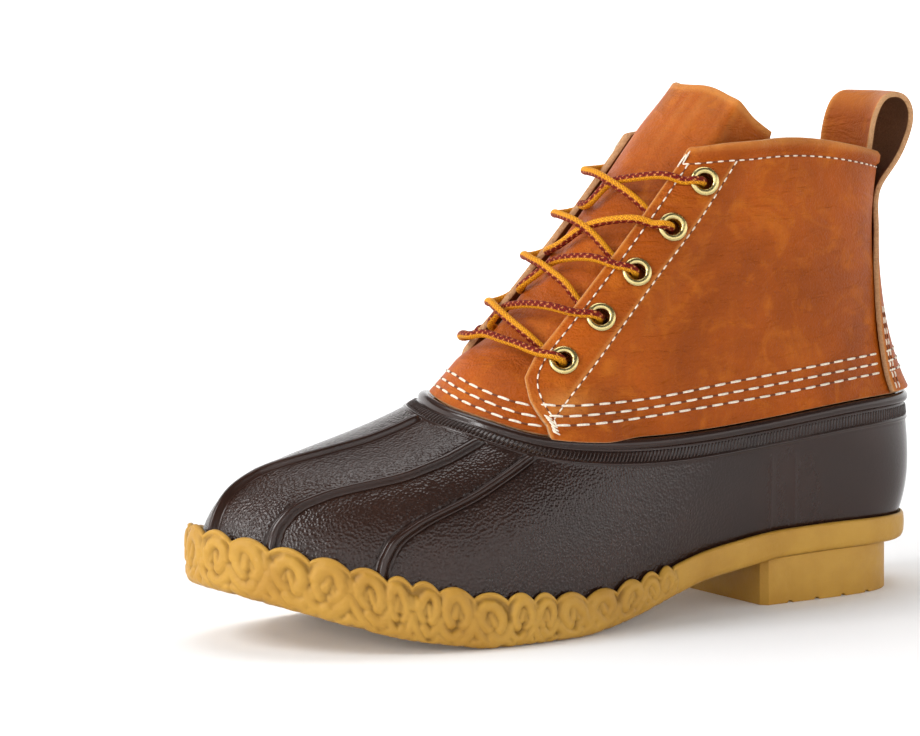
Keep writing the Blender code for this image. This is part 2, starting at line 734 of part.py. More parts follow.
def make_insole(place):
    """The footbed, lying on the outsole inside the rubber."""
    u = even_places(INSOLE_STEPS)
    inset = BAND_WALL + GAP + RUBBER_WALL + 2 * GAP
    edge_round = INSOLE_THICKNESS / 4

    def ring(cut, lift):
        line = outline(u, inset + cut)
        return flat(line, underside(line[:, 0]) + SOLE_THICKNESS + GAP + lift)

    rings = [ring(edge_round, 0.0), ring(0.0, edge_round), ring(0.0, INSOLE_THICKNESS - edge_round)]
    rings.append(ring(edge_round, INSOLE_THICKNESS))
    caps = (lambda x: underside(x) + SOLE_THICKNESS + GAP, lambda x: underside(x) + SOLE_THICKNESS)
    return ring_solid("insole", rings, caps, place, "footbed")


# Leather
def throat_edge(v):
    return np.interp(v, THROAT_AT["v"], THROAT_AT["edge"])


def mirrored(u):
    """The place on the inner side across from a place on the outer side of the throat."""
    return 2 * THROAT_CENTRE - u


def overlap(u, v):
    """How much of the full step the quarters stand out over the tongue: 1 at the throat, 0 behind."""
    u, v = np.broadcast_arrays(np.asarray(u, float) % STATIONS, np.asarray(v, float))
    edge = throat_edge(v)
    here = shaft_base(u, v)
    away = np.linalg.norm(here - shaft_base(edge, v), axis=-1)
    away = np.minimum(away, np.linalg.norm(here - shaft_base(mirrored(edge), v), axis=-1))
    away = np.where((u > edge) & (u < mirrored(edge)), 0.0, away)
    return 1.0 - smooth_step((away - OVERLAP_FULL) / (OVERLAP_END - OVERLAP_FULL))


def quarter(u, v, out):
    """A point of the quarters' wall: out 0 on the outer face, minus LEATHER_WALL on the inner face."""
    return pushed(shaft_base, u, v, overlap(u, v) * (LEATHER_WALL + GAP) + out)


def make_upper(place, cutters):
    step = 1.0 - TOPLINE_HEIGHT / SHAFT_LENGTH
    vs = np.array([0.0, 0.05, 0.13, 0.20, 0.29, 0.43, 0.58, 0.73, 0.86, step - 0.006, step, 0.985, 1.0])
    raised = np.array([0, 0, 0, 0, 0, 0, 0, 0, 0, 0, 1, 1, 0.25]) * TOPLINE_PROUD
    share = np.linspace(0.0, 1.0, UPPER_STEPS)
    share = share - UPPER_CROWDING * np.sin(4 * math.pi * share)
    edge = throat_edge(vs)[:, None]
    u = edge + (mirrored(edge) - STATIONS - edge) * share[None, :]
    v = np.repeat(vs[:, None], UPPER_STEPS, 1)
    v[0] = (LEATHER_FOOT + OVER_BEAD * overlap(u[0], v[0])) / SHAFT_LENGTH
    outer = quarter(u, v, raised[:, None] * np.ones_like(v))
    inner = quarter(u, v, np.full_like(v, -LEATHER_WALL))
    upper = slab("upper", outer, inner, place, "leather")
    for name, centre, normal in eyelet_places():
        bpy.ops.mesh.primitive_cylinder_add(
            vertices=PUNCH_SIDES, radius=PUNCH_RADIUS, depth=6 * LEATHER_WALL, location=centre,
            rotation=Vector(normal).to_track_quat("Z", "Y").to_euler(),
        )
        punch = bpy.context.object
        punch.name = "punch_" + name
        for holder in list(punch.users_collection):
            holder.objects.unlink(punch)
        cutters.objects.link(punch)
        punch.hide_render = True
        punch.display_type = "WIRE"
        combine(upper, punch, "DIFFERENCE")
    return upper


def eyelet_places():
    """Name, centre on the quarter's outer face and outward normal of each eyelet."""
    places = []
    for side in ("lateral", "medial"):
        for number, (u, v) in enumerate(EYELETS, 1):
            here = u if side == "lateral" else mirrored(u)
            outer = quarter(np.array([here]), np.array([v]), np.zeros(1))[0]
            above = quarter(np.array([here]), np.array([v]), np.full(1, 0.001))[0]
            places.append((f"{side}_{number}", outer, (above - outer) / np.linalg.norm(above - outer)))
    return places


def make_eyelet(place, name, centre, normal):
    """A turned brass eyelet."""
    tail = -(LEATHER_WALL + EYELET_TAIL)
    profile = [
        (EYELET_HOLE, EYELET_RISE * 0.55), (EYELET_RADIUS * 0.74, EYELET_RISE), (EYELET_RADIUS, GAP),
        (EYELET_BARREL, GAP), (EYELET_BARREL, tail), (EYELET_HOLE, tail),
    ]
    mesh = bpy.data.meshes.new("eyelet_" + name)
    count = len(profile)
    mesh.from_pydata([(r, 0.0, z) for r, z in profile], [(i, (i + 1) % count) for i in range(count)], [])
    made = bpy.data.objects.new("eyelet_" + name, mesh)
    place.objects.link(made)
    turned = made.modifiers.new("turned", "SCREW")
    turned.steps = turned.render_steps = EYELET_SIDES
    turned.use_merge_vertices = True
    turned.merge_threshold = 0.00005
    mesh.materials.append(material("brass"))
    made.location = centre
    made.rotation_euler = Vector(normal).to_track_quat("Z", "Y").to_euler()
    return made


def tongue_out(v, across):
    """How far the tongue's outer face lies from the leather's base surface."""
    dive = smooth_step((v - TONGUE_DIVE[0]) / TONGUE_DIVE[1])
    wings = smooth_step((np.abs(across) - 0.5) / 0.5) * smooth_step((v - 0.45) / 0.5)
    return -TONGUE_DEPTH * dive - WING_DEPTH * wings


def make_tongue(place):
    rows = np.array([LEATHER_FOOT / SHAFT_LENGTH, 0.06, 0.13, 0.20, 0.28, 0.42, 0.58, 0.73, 0.88, 1.0, 1.13, TONGUE_TOP])
    across = np.linspace(-1.0, 1.0, TONGUE_STEPS)
    fall = 1.0 - TONGUE_FALL / TONGUE_TOP * np.abs(across) ** 2
    share = smooth_step((rows - 0.7) / (TONGUE_TOP - 0.7))
    v = rows[:, None] * (1 + (fall[None, :] - 1) * share[:, None])
    wing = np.interp(rows, THROAT_AT["v"], THROAT_AT["wing"])[:, None]
    u = THROAT_CENTRE + (THROAT_CENTRE - wing) * across[None, :]
    out = tongue_out(v, across[None, :] + 0 * v)
    outer = pushed(shaft_base, u, v, out)
    inner = pushed(shaft_base, u, v, out - TONGUE_WALL)
    return slab("tongue", outer, inner, place, "leather")


def strip_half(v):
    vs, halves = np.array(STRIP).T
    return np.interp(v, vs, halves) / 1000


def strip_row(v, out, half, across):
    """Points across the strip where it lies along the leather at v."""
    near = np.linspace(-1.6, 1.6, 65)
    line = pushed(shaft_base, near, v, out + 0 * near)
    run = np.concatenate([[0], np.cumsum(np.linalg.norm(np.diff(line, axis=0), axis=1))])
    run -= np.interp(0.0, near, run)
    u = np.interp(across * half, run, near)
    return pushed(shaft_base, u, v, out + 0 * u)


def make_strip(place):
    """The strip up the back seam and the loop it makes over the collar to its end inside."""
    across = np.linspace(-1.0, 1.0, STRIP_STEPS)
    rows = []
    for v in (0.010, 0.08, 0.16, 0.26, 0.38, 0.50, 0.62, 0.74, STRIP_LEAVES):
        rows.append(strip_row(v, STRIP_WALL + STRIP_GAP, strip_half(v), across))
    collar = collar_point(np.zeros(1))[0]
    for x, z, half in LOOP:
        rows.append(np.stack([
            collar[0] + x / 1000 + LOOP_BOW * across**2, across * half / 1000, collar[2] + z / 1000 + 0 * across,
        ], -1))
    for v in STRIP_INSIDE:
        rows.append(strip_row(v, -LEATHER_WALL - STRIP_GAP - STRIP_WALL, LOOP[-1][2] / 1000, across))
    outer = np.array(rows)
    return slab("backstay_loop", outer, outer - grid_normals(outer) * STRIP_WALL, place, "leather")


# Laces
def into_eyelet(centre, normal, toward):
    """Path points of a lace that comes over an eyelet's rim and goes down its hole."""
    away = toward - centre
    away = away - normal * (away @ normal)
    away = away / np.linalg.norm(away)
    rise = LACE_RADIUS + GAP
    profile = [
        (EYELET_RADIUS + 0.0028, rise + 0.0003), (EYELET_RADIUS, rise + 0.0009),
        (EYELET_HOLE, rise + EYELET_RISE), (EYELET_HOLE * 0.3, rise + 0.0002), (0.0, -LEATHER_WALL),
    ]
    return [centre + away * r + normal * h for r, h in profile]


def throat_point(u, v, out):
    return pushed(shaft_base, np.array([u]), np.array([v]), np.array([out]))[0]


def tube(name, points, place):
    """A lace along points."""
    curve = bpy.data.curves.new(name, "CURVE")
    curve.dimensions = "3D"
    curve.bevel_depth = LACE_RADIUS
    curve.bevel_resolution = 2
    curve.use_fill_caps = True
    spline = curve.splines.new("POLY")
    spline.points.add(len(points) - 1)
    for point, where in zip(spline.points, points):
        point.co = (*where, 1.0)
    made = bpy.data.objects.new(name, curve)
    place.objects.link(made)
    mesh = bpy.data.meshes.new_from_object(made.evaluated_get(bpy.context.evaluated_depsgraph_get()))
    bpy.data.objects.remove(made)
    weld(mesh)
    solid = bpy.data.objects.new(name, mesh)
    place.objects.link(solid)
    return solid


def over_edge(v, side):
    """A path point above a quarter's front edge."""
    edge = float(throat_edge(v))
    u = edge if side == "lateral" else mirrored(edge)
    return throat_point(u, v, 2 * LEATHER_WALL + GAP + LACE_RADIUS + 2 * GAP - LEATHER_WALL)


def make_laces(place, places):
    eyelets = {name: (centre, normal) for name, centre, normal in places}
    on_tongue = -TONGUE_DEPTH + LACE_RADIUS + 2 * GAP
    for number in range(1, 5):
        v_high, v_low = EYELETS[number - 1][1], EYELETS[number][1]
        parts = []
        for side, other, height in (("medial", "lateral", 0.0002), ("lateral", "medial", 0.0026)):
            centre, normal = eyelets[f"{side}_{number}"]
            v_edge = v_high - 0.03
            start_edge = float(throat_edge(v_low + 0.02))
            edge_end = float(throat_edge(v_edge))
            start = start_edge + 0.16
            end = edge_end
            if side == "lateral":
                start, end = mirrored(start), end
            else:
                end = mirrored(end)
            v_mid = (v_low + v_high) / 2
            rise = over_edge(v_edge, side)
            path = [
                throat_point(start, v_low + 0.02, on_tongue),
                throat_point(start + 0.30 * (THROAT_CENTRE - start), v_low + 0.05, on_tongue + height * 0.4 + 0.0004),
                throat_point(THROAT_CENTRE, v_mid, height),
                throat_point(THROAT_CENTRE + 0.6 * (end - THROAT_CENTRE), v_edge - 0.04, height * 0.5 + 0.0026),
                rise,
            ]
            path += into_eyelet(centre, normal, rise)
            parts.append(tube(f"lace_cross_{number}", path, place))
        combine(parts[0], parts[1], "UNION")
        bpy.data.objects.remove(parts[1])
        parts[0].name = f"lace_cross_{number}"
        finish_lace(parts[0])
    v = EYELETS[4][1]
    left, right = eyelets["lateral_5"], eyelets["medial_5"]
    over_left, over_right = over_edge(v, "lateral"), over_edge(v, "medial")
    edge = float(throat_edge(v))
    middle = [
        throat_point(edge + share * (mirrored(edge) - edge), v, 0.0030 - 0.0012 * math.sin(math.pi * share))
        for share in (0.25, 0.5, 0.75)
    ]
    path = into_eyelet(*left, over_left)[::-1] + [over_left] + middle + [over_right]
    path += into_eyelet(*right, over_right)
    finish_lace(tube("lace_bar", path, place))


def weld(mesh):
    """Close a tube's caps and turn its faces outwards."""
    work = bmesh.new()
    work.from_mesh(mesh)
    bmesh.ops.remove_doubles(work, verts=work.verts, dist=0.00001)
    bmesh.ops.recalc_face_normals(work, faces=work.faces)
    work.to_mesh(mesh)
    work.free()


def finish_lace(thing):
    mesh = thing.data
    mesh.materials.clear()
    mesh.materials.append(material("lace"))
    mesh.polygons.foreach_set("use_smooth", [True] * len(mesh.polygons))


def main():
    for thing in list(bpy.data.objects):
        bpy.data.objects.remove(thing)
    boot = collection("duck_boot_left")
    cutters = collection("cutters")
    make_outsole(boot)
    make_heel(boot)
    make_shell(boot)
    make_insole(boot)
    make_upper(boot, cutters)
    make_tongue(boot)
    make_strip(boot)
    places = eyelet_places()
    for name, centre, normal in places:
        make_eyelet(boot, name, centre, normal)
    make_laces(boot, places)


main()
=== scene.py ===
"""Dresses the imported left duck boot: rubber bottom, chain-tread sole, leather, stitching, eyelets and lace.

Laid out as an add-on. Every piece is an operator; the studio with its camera is one more.
Metres, +Z up, +X to the toe, +Y to the outer side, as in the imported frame.
"""

import math

import bmesh
import bpy
import numpy as np
from mathutils import Matrix, Vector


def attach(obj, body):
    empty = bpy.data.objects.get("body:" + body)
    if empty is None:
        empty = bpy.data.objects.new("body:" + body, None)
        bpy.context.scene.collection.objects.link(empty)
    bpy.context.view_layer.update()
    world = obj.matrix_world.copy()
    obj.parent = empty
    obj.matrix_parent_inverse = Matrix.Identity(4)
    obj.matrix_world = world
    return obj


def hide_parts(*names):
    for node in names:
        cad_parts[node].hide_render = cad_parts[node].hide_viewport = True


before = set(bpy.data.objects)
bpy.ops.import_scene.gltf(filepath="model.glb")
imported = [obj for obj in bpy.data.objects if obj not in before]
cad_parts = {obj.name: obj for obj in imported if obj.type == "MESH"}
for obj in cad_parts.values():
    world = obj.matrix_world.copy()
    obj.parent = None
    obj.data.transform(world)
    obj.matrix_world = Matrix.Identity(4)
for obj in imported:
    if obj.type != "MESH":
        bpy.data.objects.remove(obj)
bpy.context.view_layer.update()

bl_info = {
    "name": "Duck boot dressing",
    "version": (1, 0, 0),
    "blender": (4, 5, 0),
    "location": "View3D > Sidebar > Duck boot",
    "description": "Builds the visible rubber, leather, stitching and lace of a left duck boot",
    "category": "Object",
}

MM = 0.001

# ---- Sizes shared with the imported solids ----
SOLE_LENGTH = 0.2925
SOLE_BACK = -0.0475
BALL_WIDTH = 0.108
RIM_HEIGHT = 0.083
COLLAR_HEIGHT = 0.168
HEEL_HEIGHT = 0.018
TOE_SPRING = 0.0215
BAND_HEIGHT = 0.020
SOLE_THICKNESS = 0.0055
GAP = 0.0003
RUBBER_WALL = 0.0026
LEATHER_WALL = 0.0022
BAND_WALL = 0.0034
BAND_LIP = 0.0014
BEAD_HEIGHT = 0.0042
FLANGE_HEIGHT = 0.0155
FLANGE_GAP = 0.0007
FLANGE_WALL = 0.0012
RIB_BAND_HEIGHT = 0.0064
TONGUE_DEPTH = 0.0040
TONGUE_DIVE = (0.15, 0.17)
WING_DEPTH = 0.0060
TONGUE_TOP = 1.25
TONGUE_FALL = 0.235
TONGUE_WALL = 0.0022
OVERLAP_FULL = 0.020
OVERLAP_END = 0.036
TOE_LINE = 8.9
THROAT_CENTRE = 8.8
SHAFT_LENGTH = COLLAR_HEIGHT - RIM_HEIGHT
LEATHER_FOOT = 0.0009
LAPS_BEAD = 0.0018
STRIP_WALL = 0.0020
STRIP_GAP = 0.0005
STRIP_LEAVES = 0.86
BREAST = 0.0335
HEEL_INSET = 0.0032
HEEL_BACK_INSET = 0.0060

# One row for each place round the foot, from the back of the heel along the outer side to the toe and back.
LAST_COLUMNS = (
    "sole_x", "sole_y", "rim_x", "rim_y", "rim_z", "collar_x", "collar_y", "collar_z",
    "lean", "rise", "reach", "belly", "drop", "tuck",
)
LAST = (
    (0.0, 0.0, 0.0, 0.0, 89.2, 3.6, 0.0, 97.6, 8.4, 20, 0.00, 1.6, 20, 9.4),
    (4.3, 25.0, 3.5, 22.2, 89.2, 6.4, 18.5, 98.2, 6.4, 20, 0.10, 1.6, 20, 7.6),
    (15.2, 33.3, 13.9, 33.3, 88.6, 15.2, 29.6, 101.0, 3.4, 19, 0.20, 2.2, 20, 3.4),
    (29.9, 35.2, 27.6, 37.5, 84.9, 23.4, 33.3, 102.6, 3.2, 22, 0.30, 1.9, 19, 1.9),
    (45.3, 42.1, 41.2, 39.4, 81.9, 29.2, 33.3, 102.3, 4.2, 24, 0.40, 2.8, 19, 1.4),
    (59.7, 50.5, 52.1, 38.9, 81.9, 33.4, 30.1, 101.6, 4.6, 29, 0.45, 2.8, 18, 0.9),
    (73.3, 50.9, 60.7, 34.3, 84.9, 36.4, 25.0, 100.6, 4.6, 34, 0.50, 3.7, 18, 0.5),
    (86.8, 38.0, 65.8, 23.1, 91.0, 38.6, 16.7, 101.0, 2.8, 43, 0.50, 1.9, 19, 0.6),
    (96.2, 15.7, 68.0, 8.3, 95.6, 40.0, 6.5, 101.0, 0.9, 50, 0.45, 0.0, 24, 1.8),
    (100.0, -10.5, 67.9, -4.6, 98.6, 39.9, -3.7, 101.0, 0.0, 52, 0.45, 0.0, 26, 2.6),
    (95.4, -32.0, 66.1, -16.0, 99.2, 38.6, -13.0, 101.4, 0.9, 50, 0.45, 0.0, 25, 3.0),
    (84.6, -43.2, 61.7, -26.6, 96.2, 35.5, -21.3, 102.0, 2.8, 44, 0.50, 1.4, 22, 2.8),
    (70.6, -46.4, 53.6, -33.9, 91.0, 31.4, -27.8, 102.6, 3.7, 38, 0.50, 2.3, 20, 2.2),
    (52.1, -37.0, 41.2, -36.1, 88.0, 27.2, -31.4, 102.6, 3.7, 31, 0.40, 2.8, 20, 1.9),
    (32.3, -30.6, 26.5, -34.3, 88.0, 21.4, -31.9, 102.2, 3.2, 24, 0.30, 1.9, 20, 1.9),
    (14.5, -31.5, 12.8, -31.5, 89.2, 13.2, -27.8, 100.6, 3.4, 20, 0.20, 2.2, 20, 3.4),
    (4.0, -24.1, 3.1, -21.3, 89.2, 6.1, -17.6, 98.2, 6.4, 20, 0.10, 1.6, 20, 7.6),
)
STATIONS = len(LAST)
SOLE_COLUMNS = ("x", "heel", "spring", "band")
SOLE = (
    (0.0, 1.00, 0.00, 0.50), (15.0, 1.02, 0.00, 0.52), (24.5, 0.98, 0.00, 0.53), (31.0, 0.85, 0.00, 0.56),
    (38.0, 0.70, 0.00, 0.56), (43.0, 0.50, 0.00, 0.58), (49.0, 0.24, 0.00, 0.68), (54.5, 0.07, 0.00, 0.72),
    (59.0, 0.00, 0.00, 0.78), (72.0, 0.00, 0.00, 0.95), (76.5, 0.00, 0.08, 1.00), (82.0, 0.00, 0.22, 1.05),
    (87.0, 0.00, 0.42, 1.05), (92.0, 0.00, 0.65, 1.03), (100.0, 0.00, 1.00, 1.00),
)
THROAT_COLUMNS = ("v", "edge", "wing")
THROAT = (
    (0.00, 5.88, 5.42), (0.05, 6.03, 5.52), (0.13, 6.51, 5.98), (0.20, 6.81, 6.28), (0.29, 6.86, 6.32),
    (0.43, 6.72, 6.10), (0.58, 6.58, 5.70), (0.72, 6.44, 5.10), (0.86, 6.27, 4.20), (1.00, 6.06, 3.40),
    (1.30, 5.60, 3.10),
)
EYELETS = ((5.14, 0.887), (5.49, 0.750), (5.83, 0.606), (6.09, 0.450), (6.33, 0.285))
SEAM_COLUMNS = ("v", "outer", "inner", "middle")
SEAMS = (
    (0.00, 6.84, 7.90, 8.80), (0.12, 6.87, 7.96, 8.87), (0.20, 6.88, 7.98, 8.95), (0.31, 6.85, 7.93, 9.05),
    (0.43, 6.70, 7.70, 9.00), (0.60, 6.39, 7.22, 8.70), (0.75, 6.18, 6.98, 8.50), (0.88, 6.00, 6.85, 8.42),
    (1.00, 5.86, 6.74, 8.40),
)
# Faint mould lines on the outer side: v, then the place round the foot of each.
SIDE_LINES = ((0.0, 2.52, 2.77), (0.15, 2.55, 2.80), (0.78, 2.72, 2.97), (1.0, 2.77, 3.02))
STRIP = ((0.0, 41), (0.1, 38.5), (0.2, 35), (0.4, 28.5), (0.62, 22), (0.82, 17), (0.90, 16))
LOOP = (
    (-6.0, -7.0, 15.5), (-11.0, -1.0, 15.2), (-14.6, 5.5, 15), (-16.6, 12.0, 15), (-15.8, 18.0, 15),
    (-12.4, 21.8, 15), (-7.6, 23.0, 15), (-2.4, 21.6, 15), (1.4, 17.0, 15), (3.6, 11.0, 15),
    (4.8, 4.5, 15),
)
LOOP_BOW = 0.0042
STRIP_INSIDE = (0.955, 0.87, 0.78)

# ---- Places read for the dressing ----
# Tops of the sole's scallops on the outer side, as places round the foot.
SCALLOPS = (
    3.80, 3.95, 4.12, 4.37, 4.68, 5.09, 5.37, 5.58, 5.90, 6.22, 6.50, 6.67, 6.92, 7.31, 7.67, 8.16, 8.58,
)
# Stitch line behind the eyelets: v, then the place round the foot.
FACING = (
    (0.055, 6.00), (0.10, 5.97), (0.15, 5.93), (0.225, 5.85), (0.425, 5.61), (0.612, 5.30), (0.781, 4.85),
    (0.89, 4.58), (0.945, 4.43),
)
# The three rows of large stitches over the rim: place round the foot, then v of each.
RIM_ROWS = (
    (0.0, 0.212, 0.165, 0.119), (0.84, 0.212, 0.165, 0.119), (1.84, 0.200, 0.156, 0.112),
    (2.69, 0.194, 0.150, 0.106), (3.69, 0.188, 0.147, 0.106), (4.49, 0.169, 0.131, 0.094),
    (5.38, 0.148, 0.106, 0.066), (6.33, 0.113, 0.072, 0.036), (6.90, 0.104, 0.068, 0.033),
    (7.59, 0.110, 0.075, 0.040), (8.66, 0.119, 0.083, 0.048),
)
# Lace runs above the tongue: place round the foot, v, and height over the leather's base in mm.
# up_n ends in the outer eyelet n, over_n in the inner one.
LACE_RUNS = {
    "up_1": ((9.60, 0.790, -1.4), (8.75, 0.800, -0.8), (8.22, 0.858, 0.6), (7.46, 0.880, 2.6),
             (6.71, 0.893, 4.4), (6.09, 0.897, 5.2), (5.66, 0.888, 4.9)),
    "over_1": ((6.32, 0.802, -1.0), (6.85, 0.828, 0.8), (7.43, 0.850, 2.6), (7.90, 0.864, 4.0),
               (8.41, 0.876, 4.3), (9.60, 0.878, 4.2), (11.35, 0.871, 4.3)),
    "up_2": ((9.60, 0.620, -1.4), (8.75, 0.650, -0.9), (7.94, 0.706, 1.0), (7.31, 0.733, 3.0),
             (6.76, 0.750, 4.4), (6.18, 0.755, 5.2), (5.95, 0.751, 4.9)),
    "over_2": ((6.61, 0.652, -1.0), (7.10, 0.682, 0.9), (7.53, 0.704, 2.7), (7.95, 0.717, 4.0),
               (8.54, 0.724, 4.2), (9.70, 0.722, 4.1), (11.16, 0.717, 4.3)),
    "up_3": ((9.60, 0.480, -1.4), (8.75, 0.540, -0.6), (8.09, 0.588, 1.2), (7.33, 0.610, 3.4),
             (6.74, 0.617, 4.8), (6.33, 0.612, 5.0)),
    "over_3": ((6.84, 0.500, -1.0), (7.25, 0.530, 0.9), (7.72, 0.549, 2.7), (8.12, 0.560, 3.9),
               (8.62, 0.564, 4.2), (9.70, 0.565, 4.1), (11.00, 0.562, 4.3)),
    "up_4": ((10.0, 0.330, -1.4), (9.35, 0.378, -0.2), (8.54, 0.408, 1.6), (7.66, 0.430, 3.5),
             (6.96, 0.437, 4.8), (6.52, 0.440, 5.0)),
    "over_4": ((7.04, 0.325, -1.0), (7.38, 0.341, 0.9), (7.86, 0.359, 2.7), (8.30, 0.371, 3.9),
               (8.72, 0.378, 4.2), (9.60, 0.382, 4.1), (10.83, 0.383, 4.3)),
    "bar": ((6.72, 0.281, 5.0), (7.30, 0.290, 3.6), (7.91, 0.294, 2.8), (8.52, 0.282, 3.7),
            (8.93, 0.258, 4.1), (9.60, 0.245, 4.1), (10.77, 0.236, 4.3)),
}
# How far each run is turned about its length: at 0 its maroon half is uppermost, at 180 the gold half.
LACE_TURNS = {"up_1": 22, "over_1": 190, "up_2": 190, "over_2": 195, "up_3": 22, "over_3": 195, "up_4": 32,
              "over_4": 195, "bar": -12}


# ---- Curves and surfaces ----
def columns(table, names):
    """The table's columns by name, as arrays."""
    return dict(zip(names, np.array(table, float).T))


def closed_spline(values):
    """A closed smooth curve through values, one for each whole number of its parameter."""
    values = np.asarray(values, float)
    count = len(values)
    matrix = 4 * np.eye(count) + np.roll(np.eye(count), 1, 0) + np.roll(np.eye(count), -1, 0)
    bend = np.linalg.solve(matrix, 6 * (np.roll(values, -1) - 2 * values + np.roll(values, 1)))

    def at(u):
        u = np.asarray(u, float) % count
        low = np.floor(u).astype(int) % count
        high = (low + 1) % count
        t = u - np.floor(u)
        s = 1 - t
        return (
            s * values[low] + t * values[high] + ((s**3 - s) * bend[low] + (t**3 - t) * bend[high]) / 6
        )

    return at


def run_along(points):
    """Length along a line of points, from 0 at the first."""
    return np.concatenate([[0.0], np.cumsum(np.linalg.norm(np.diff(points, axis=0), axis=1))])


def point_along(length, run, points):
    """The point at a length along a line whose lengths are run."""
    return np.array([np.interp(length, run, points[:, k]) for k in range(3)])


def open_spline(points, count):
    """count points evenly spaced in length along a smooth open curve through points."""
    points = np.asarray(points, float)
    run = run_along(points.reshape(len(points), -1))
    return spline_at(run, points, np.linspace(0.0, run[-1], count))


def spline_at(run, values, wanted):
    """A natural cubic spline of values over run, read at wanted."""
    values = np.asarray(values, float)
    shape = values.shape[1:]
    flat_values = values.reshape(len(values), -1)
    n, h = len(run), np.diff(run)
    matrix = np.eye(n)
    right = np.zeros_like(flat_values)
    for i in range(1, n - 1):
        matrix[i, i - 1], matrix[i, i], matrix[i, i + 1] = h[i - 1], 2 * (h[i - 1] + h[i]), h[i]
        step = (flat_values[i + 1] - flat_values[i]) / h[i] - (flat_values[i] - flat_values[i - 1]) / h[i - 1]
        right[i] = 6 * step
    bend = np.linalg.solve(matrix, right)
    low = np.clip(np.searchsorted(run, wanted) - 1, 0, n - 2)
    t = ((wanted - run[low]) / h[low])[:, None]
    s = 1 - t
    wide = (h[low] ** 2)[:, None]
    made = s * flat_values[low] + t * flat_values[low + 1]
    made = made + ((s**3 - s) * bend[low] + (t**3 - t) * bend[low + 1]) * wide / 6
    return made.reshape((len(wanted),) + shape)


def eased(xs, ys, x):
    """A smooth line through the points xs, ys without overshoot, read at x."""
    xs, ys = np.asarray(xs, float), np.asarray(ys, float)
    step = np.diff(ys) / np.diff(xs)
    slope = np.zeros(len(xs))
    inner = (step[:-1] * step[1:]) > 0
    slope[1:-1][inner] = 2 * step[:-1][inner] * step[1:][inner] / (step[:-1] + step[1:])[inner]
    slope[0], slope[-1] = step[0], step[-1]
    x = np.clip(np.asarray(x, float), xs[0], xs[-1])
    low = np.clip(np.searchsorted(xs, x) - 1, 0, len(xs) - 2)
    width = xs[low + 1] - xs[low]
    t = (x - xs[low]) / width
    return (
        ys[low] * (1 + 2 * t) * (1 - t) ** 2 + ys[low + 1] * t**2 * (3 - 2 * t)
        + width * (slope[low] * t * (1 - t) ** 2 - slope[low + 1] * t**2 * (1 - t))
    )


def smooth_step(x):
    x = np.clip(x, 0.0, 1.0)
    return x * x * (3 - 2 * x)


LAST_AT = {name: closed_spline(column) for name, column in columns(LAST, LAST_COLUMNS).items()}
SOLE_AT = columns(SOLE, SOLE_COLUMNS)
THROAT_AT = columns(THROAT, THROAT_COLUMNS)
SEAM_AT = columns(SEAMS, SEAM_COLUMNS)


def along(share):
    return SOLE_BACK + SOLE_LENGTH * share / 100


def sole_share(x):
    return (np.asarray(x) - SOLE_BACK) / SOLE_LENGTH * 100


def underside(x):
    """Height of the outsole's underside."""
    share = sole_share(x)
    heel = eased(SOLE_AT["x"], SOLE_AT["heel"], share)
    return HEEL_HEIGHT * heel + TOE_SPRING * eased(SOLE_AT["x"], SOLE_AT["spring"], share)


def band_height(x):
    return BAND_HEIGHT * eased(SOLE_AT["x"], SOLE_AT["band"], sole_share(x))


def outward(tangent):
    normal = np.stack([-tangent[..., 1], tangent[..., 0]], -1)
    return normal / np.linalg.norm(normal, axis=-1, keepdims=True)


def outline(u, inset=0.0):
    """The sole's outline seen from above, moved inwards by inset."""
    step = 0.02
    u = np.asarray(u, float)

    def point(w):
        return np.stack([along(LAST_AT["sole_x"](w)), BALL_WIDTH * LAST_AT["sole_y"](w) / 100], -1)

    return point(u) - inset * outward(point(u + step) - point(u - step))


def plan_normal(u):
    step = 0.02
    return outward(outline(np.asarray(u) + step) - outline(np.asarray(u) - step))


def flat(vector, height=0.0):
    """A plan vector with a height, as 3-D points."""
    height = np.broadcast_to(np.asarray(height, float), vector.shape[:-1])
    return np.concatenate([vector, height[..., None]], -1)


def last_point(u, level, tall):
    """The rim or the collar at a place round the foot."""
    return np.stack(
        [
            along(LAST_AT[level + "_x"](u)),
            BALL_WIDTH * LAST_AT[level + "_y"](u) / 100,
            tall * LAST_AT[level + "_z"](u) / 100,
        ],
        -1,
    )


def rim_point(u):
    return last_point(u, "rim", RIM_HEIGHT)


def collar_point(u):
    return last_point(u, "collar", COLLAR_HEIGHT)


def bezier(points, v):
    v = np.asarray(v, float)[..., None]
    s = 1 - v
    return s**3 * points[0] + 3 * s**2 * v * points[1] + 3 * s * v**2 * points[2] + v**3 * points[3]


def rubber_base(u, v):
    """The rubber bottom's outer face: v 0 on the sole, 1 at the rim."""
    u, v = np.broadcast_arrays(np.asarray(u, float), np.asarray(v, float))
    foot = outline(u, BAND_WALL + GAP)
    low = flat(foot, underside(foot[..., 0]) + SOLE_THICKNESS + GAP)
    out = flat(plan_normal(u))
    rim = rim_point(u)
    up = np.array([0.0, 0.0, 1.0])
    across, tall = BALL_WIDTH / 100, RIM_HEIGHT / 100
    one = low + out * (LAST_AT["lean"](u) * across)[..., None] + up * (LAST_AT["rise"](u) * tall)[..., None]
    two = rim + flat(foot - rim[..., :2]) * LAST_AT["reach"](u)[..., None]
    two = two + out * (LAST_AT["belly"](u) * across)[..., None] - up * (LAST_AT["drop"](u) * tall)[..., None]
    return bezier((low, one, two, rim), v)


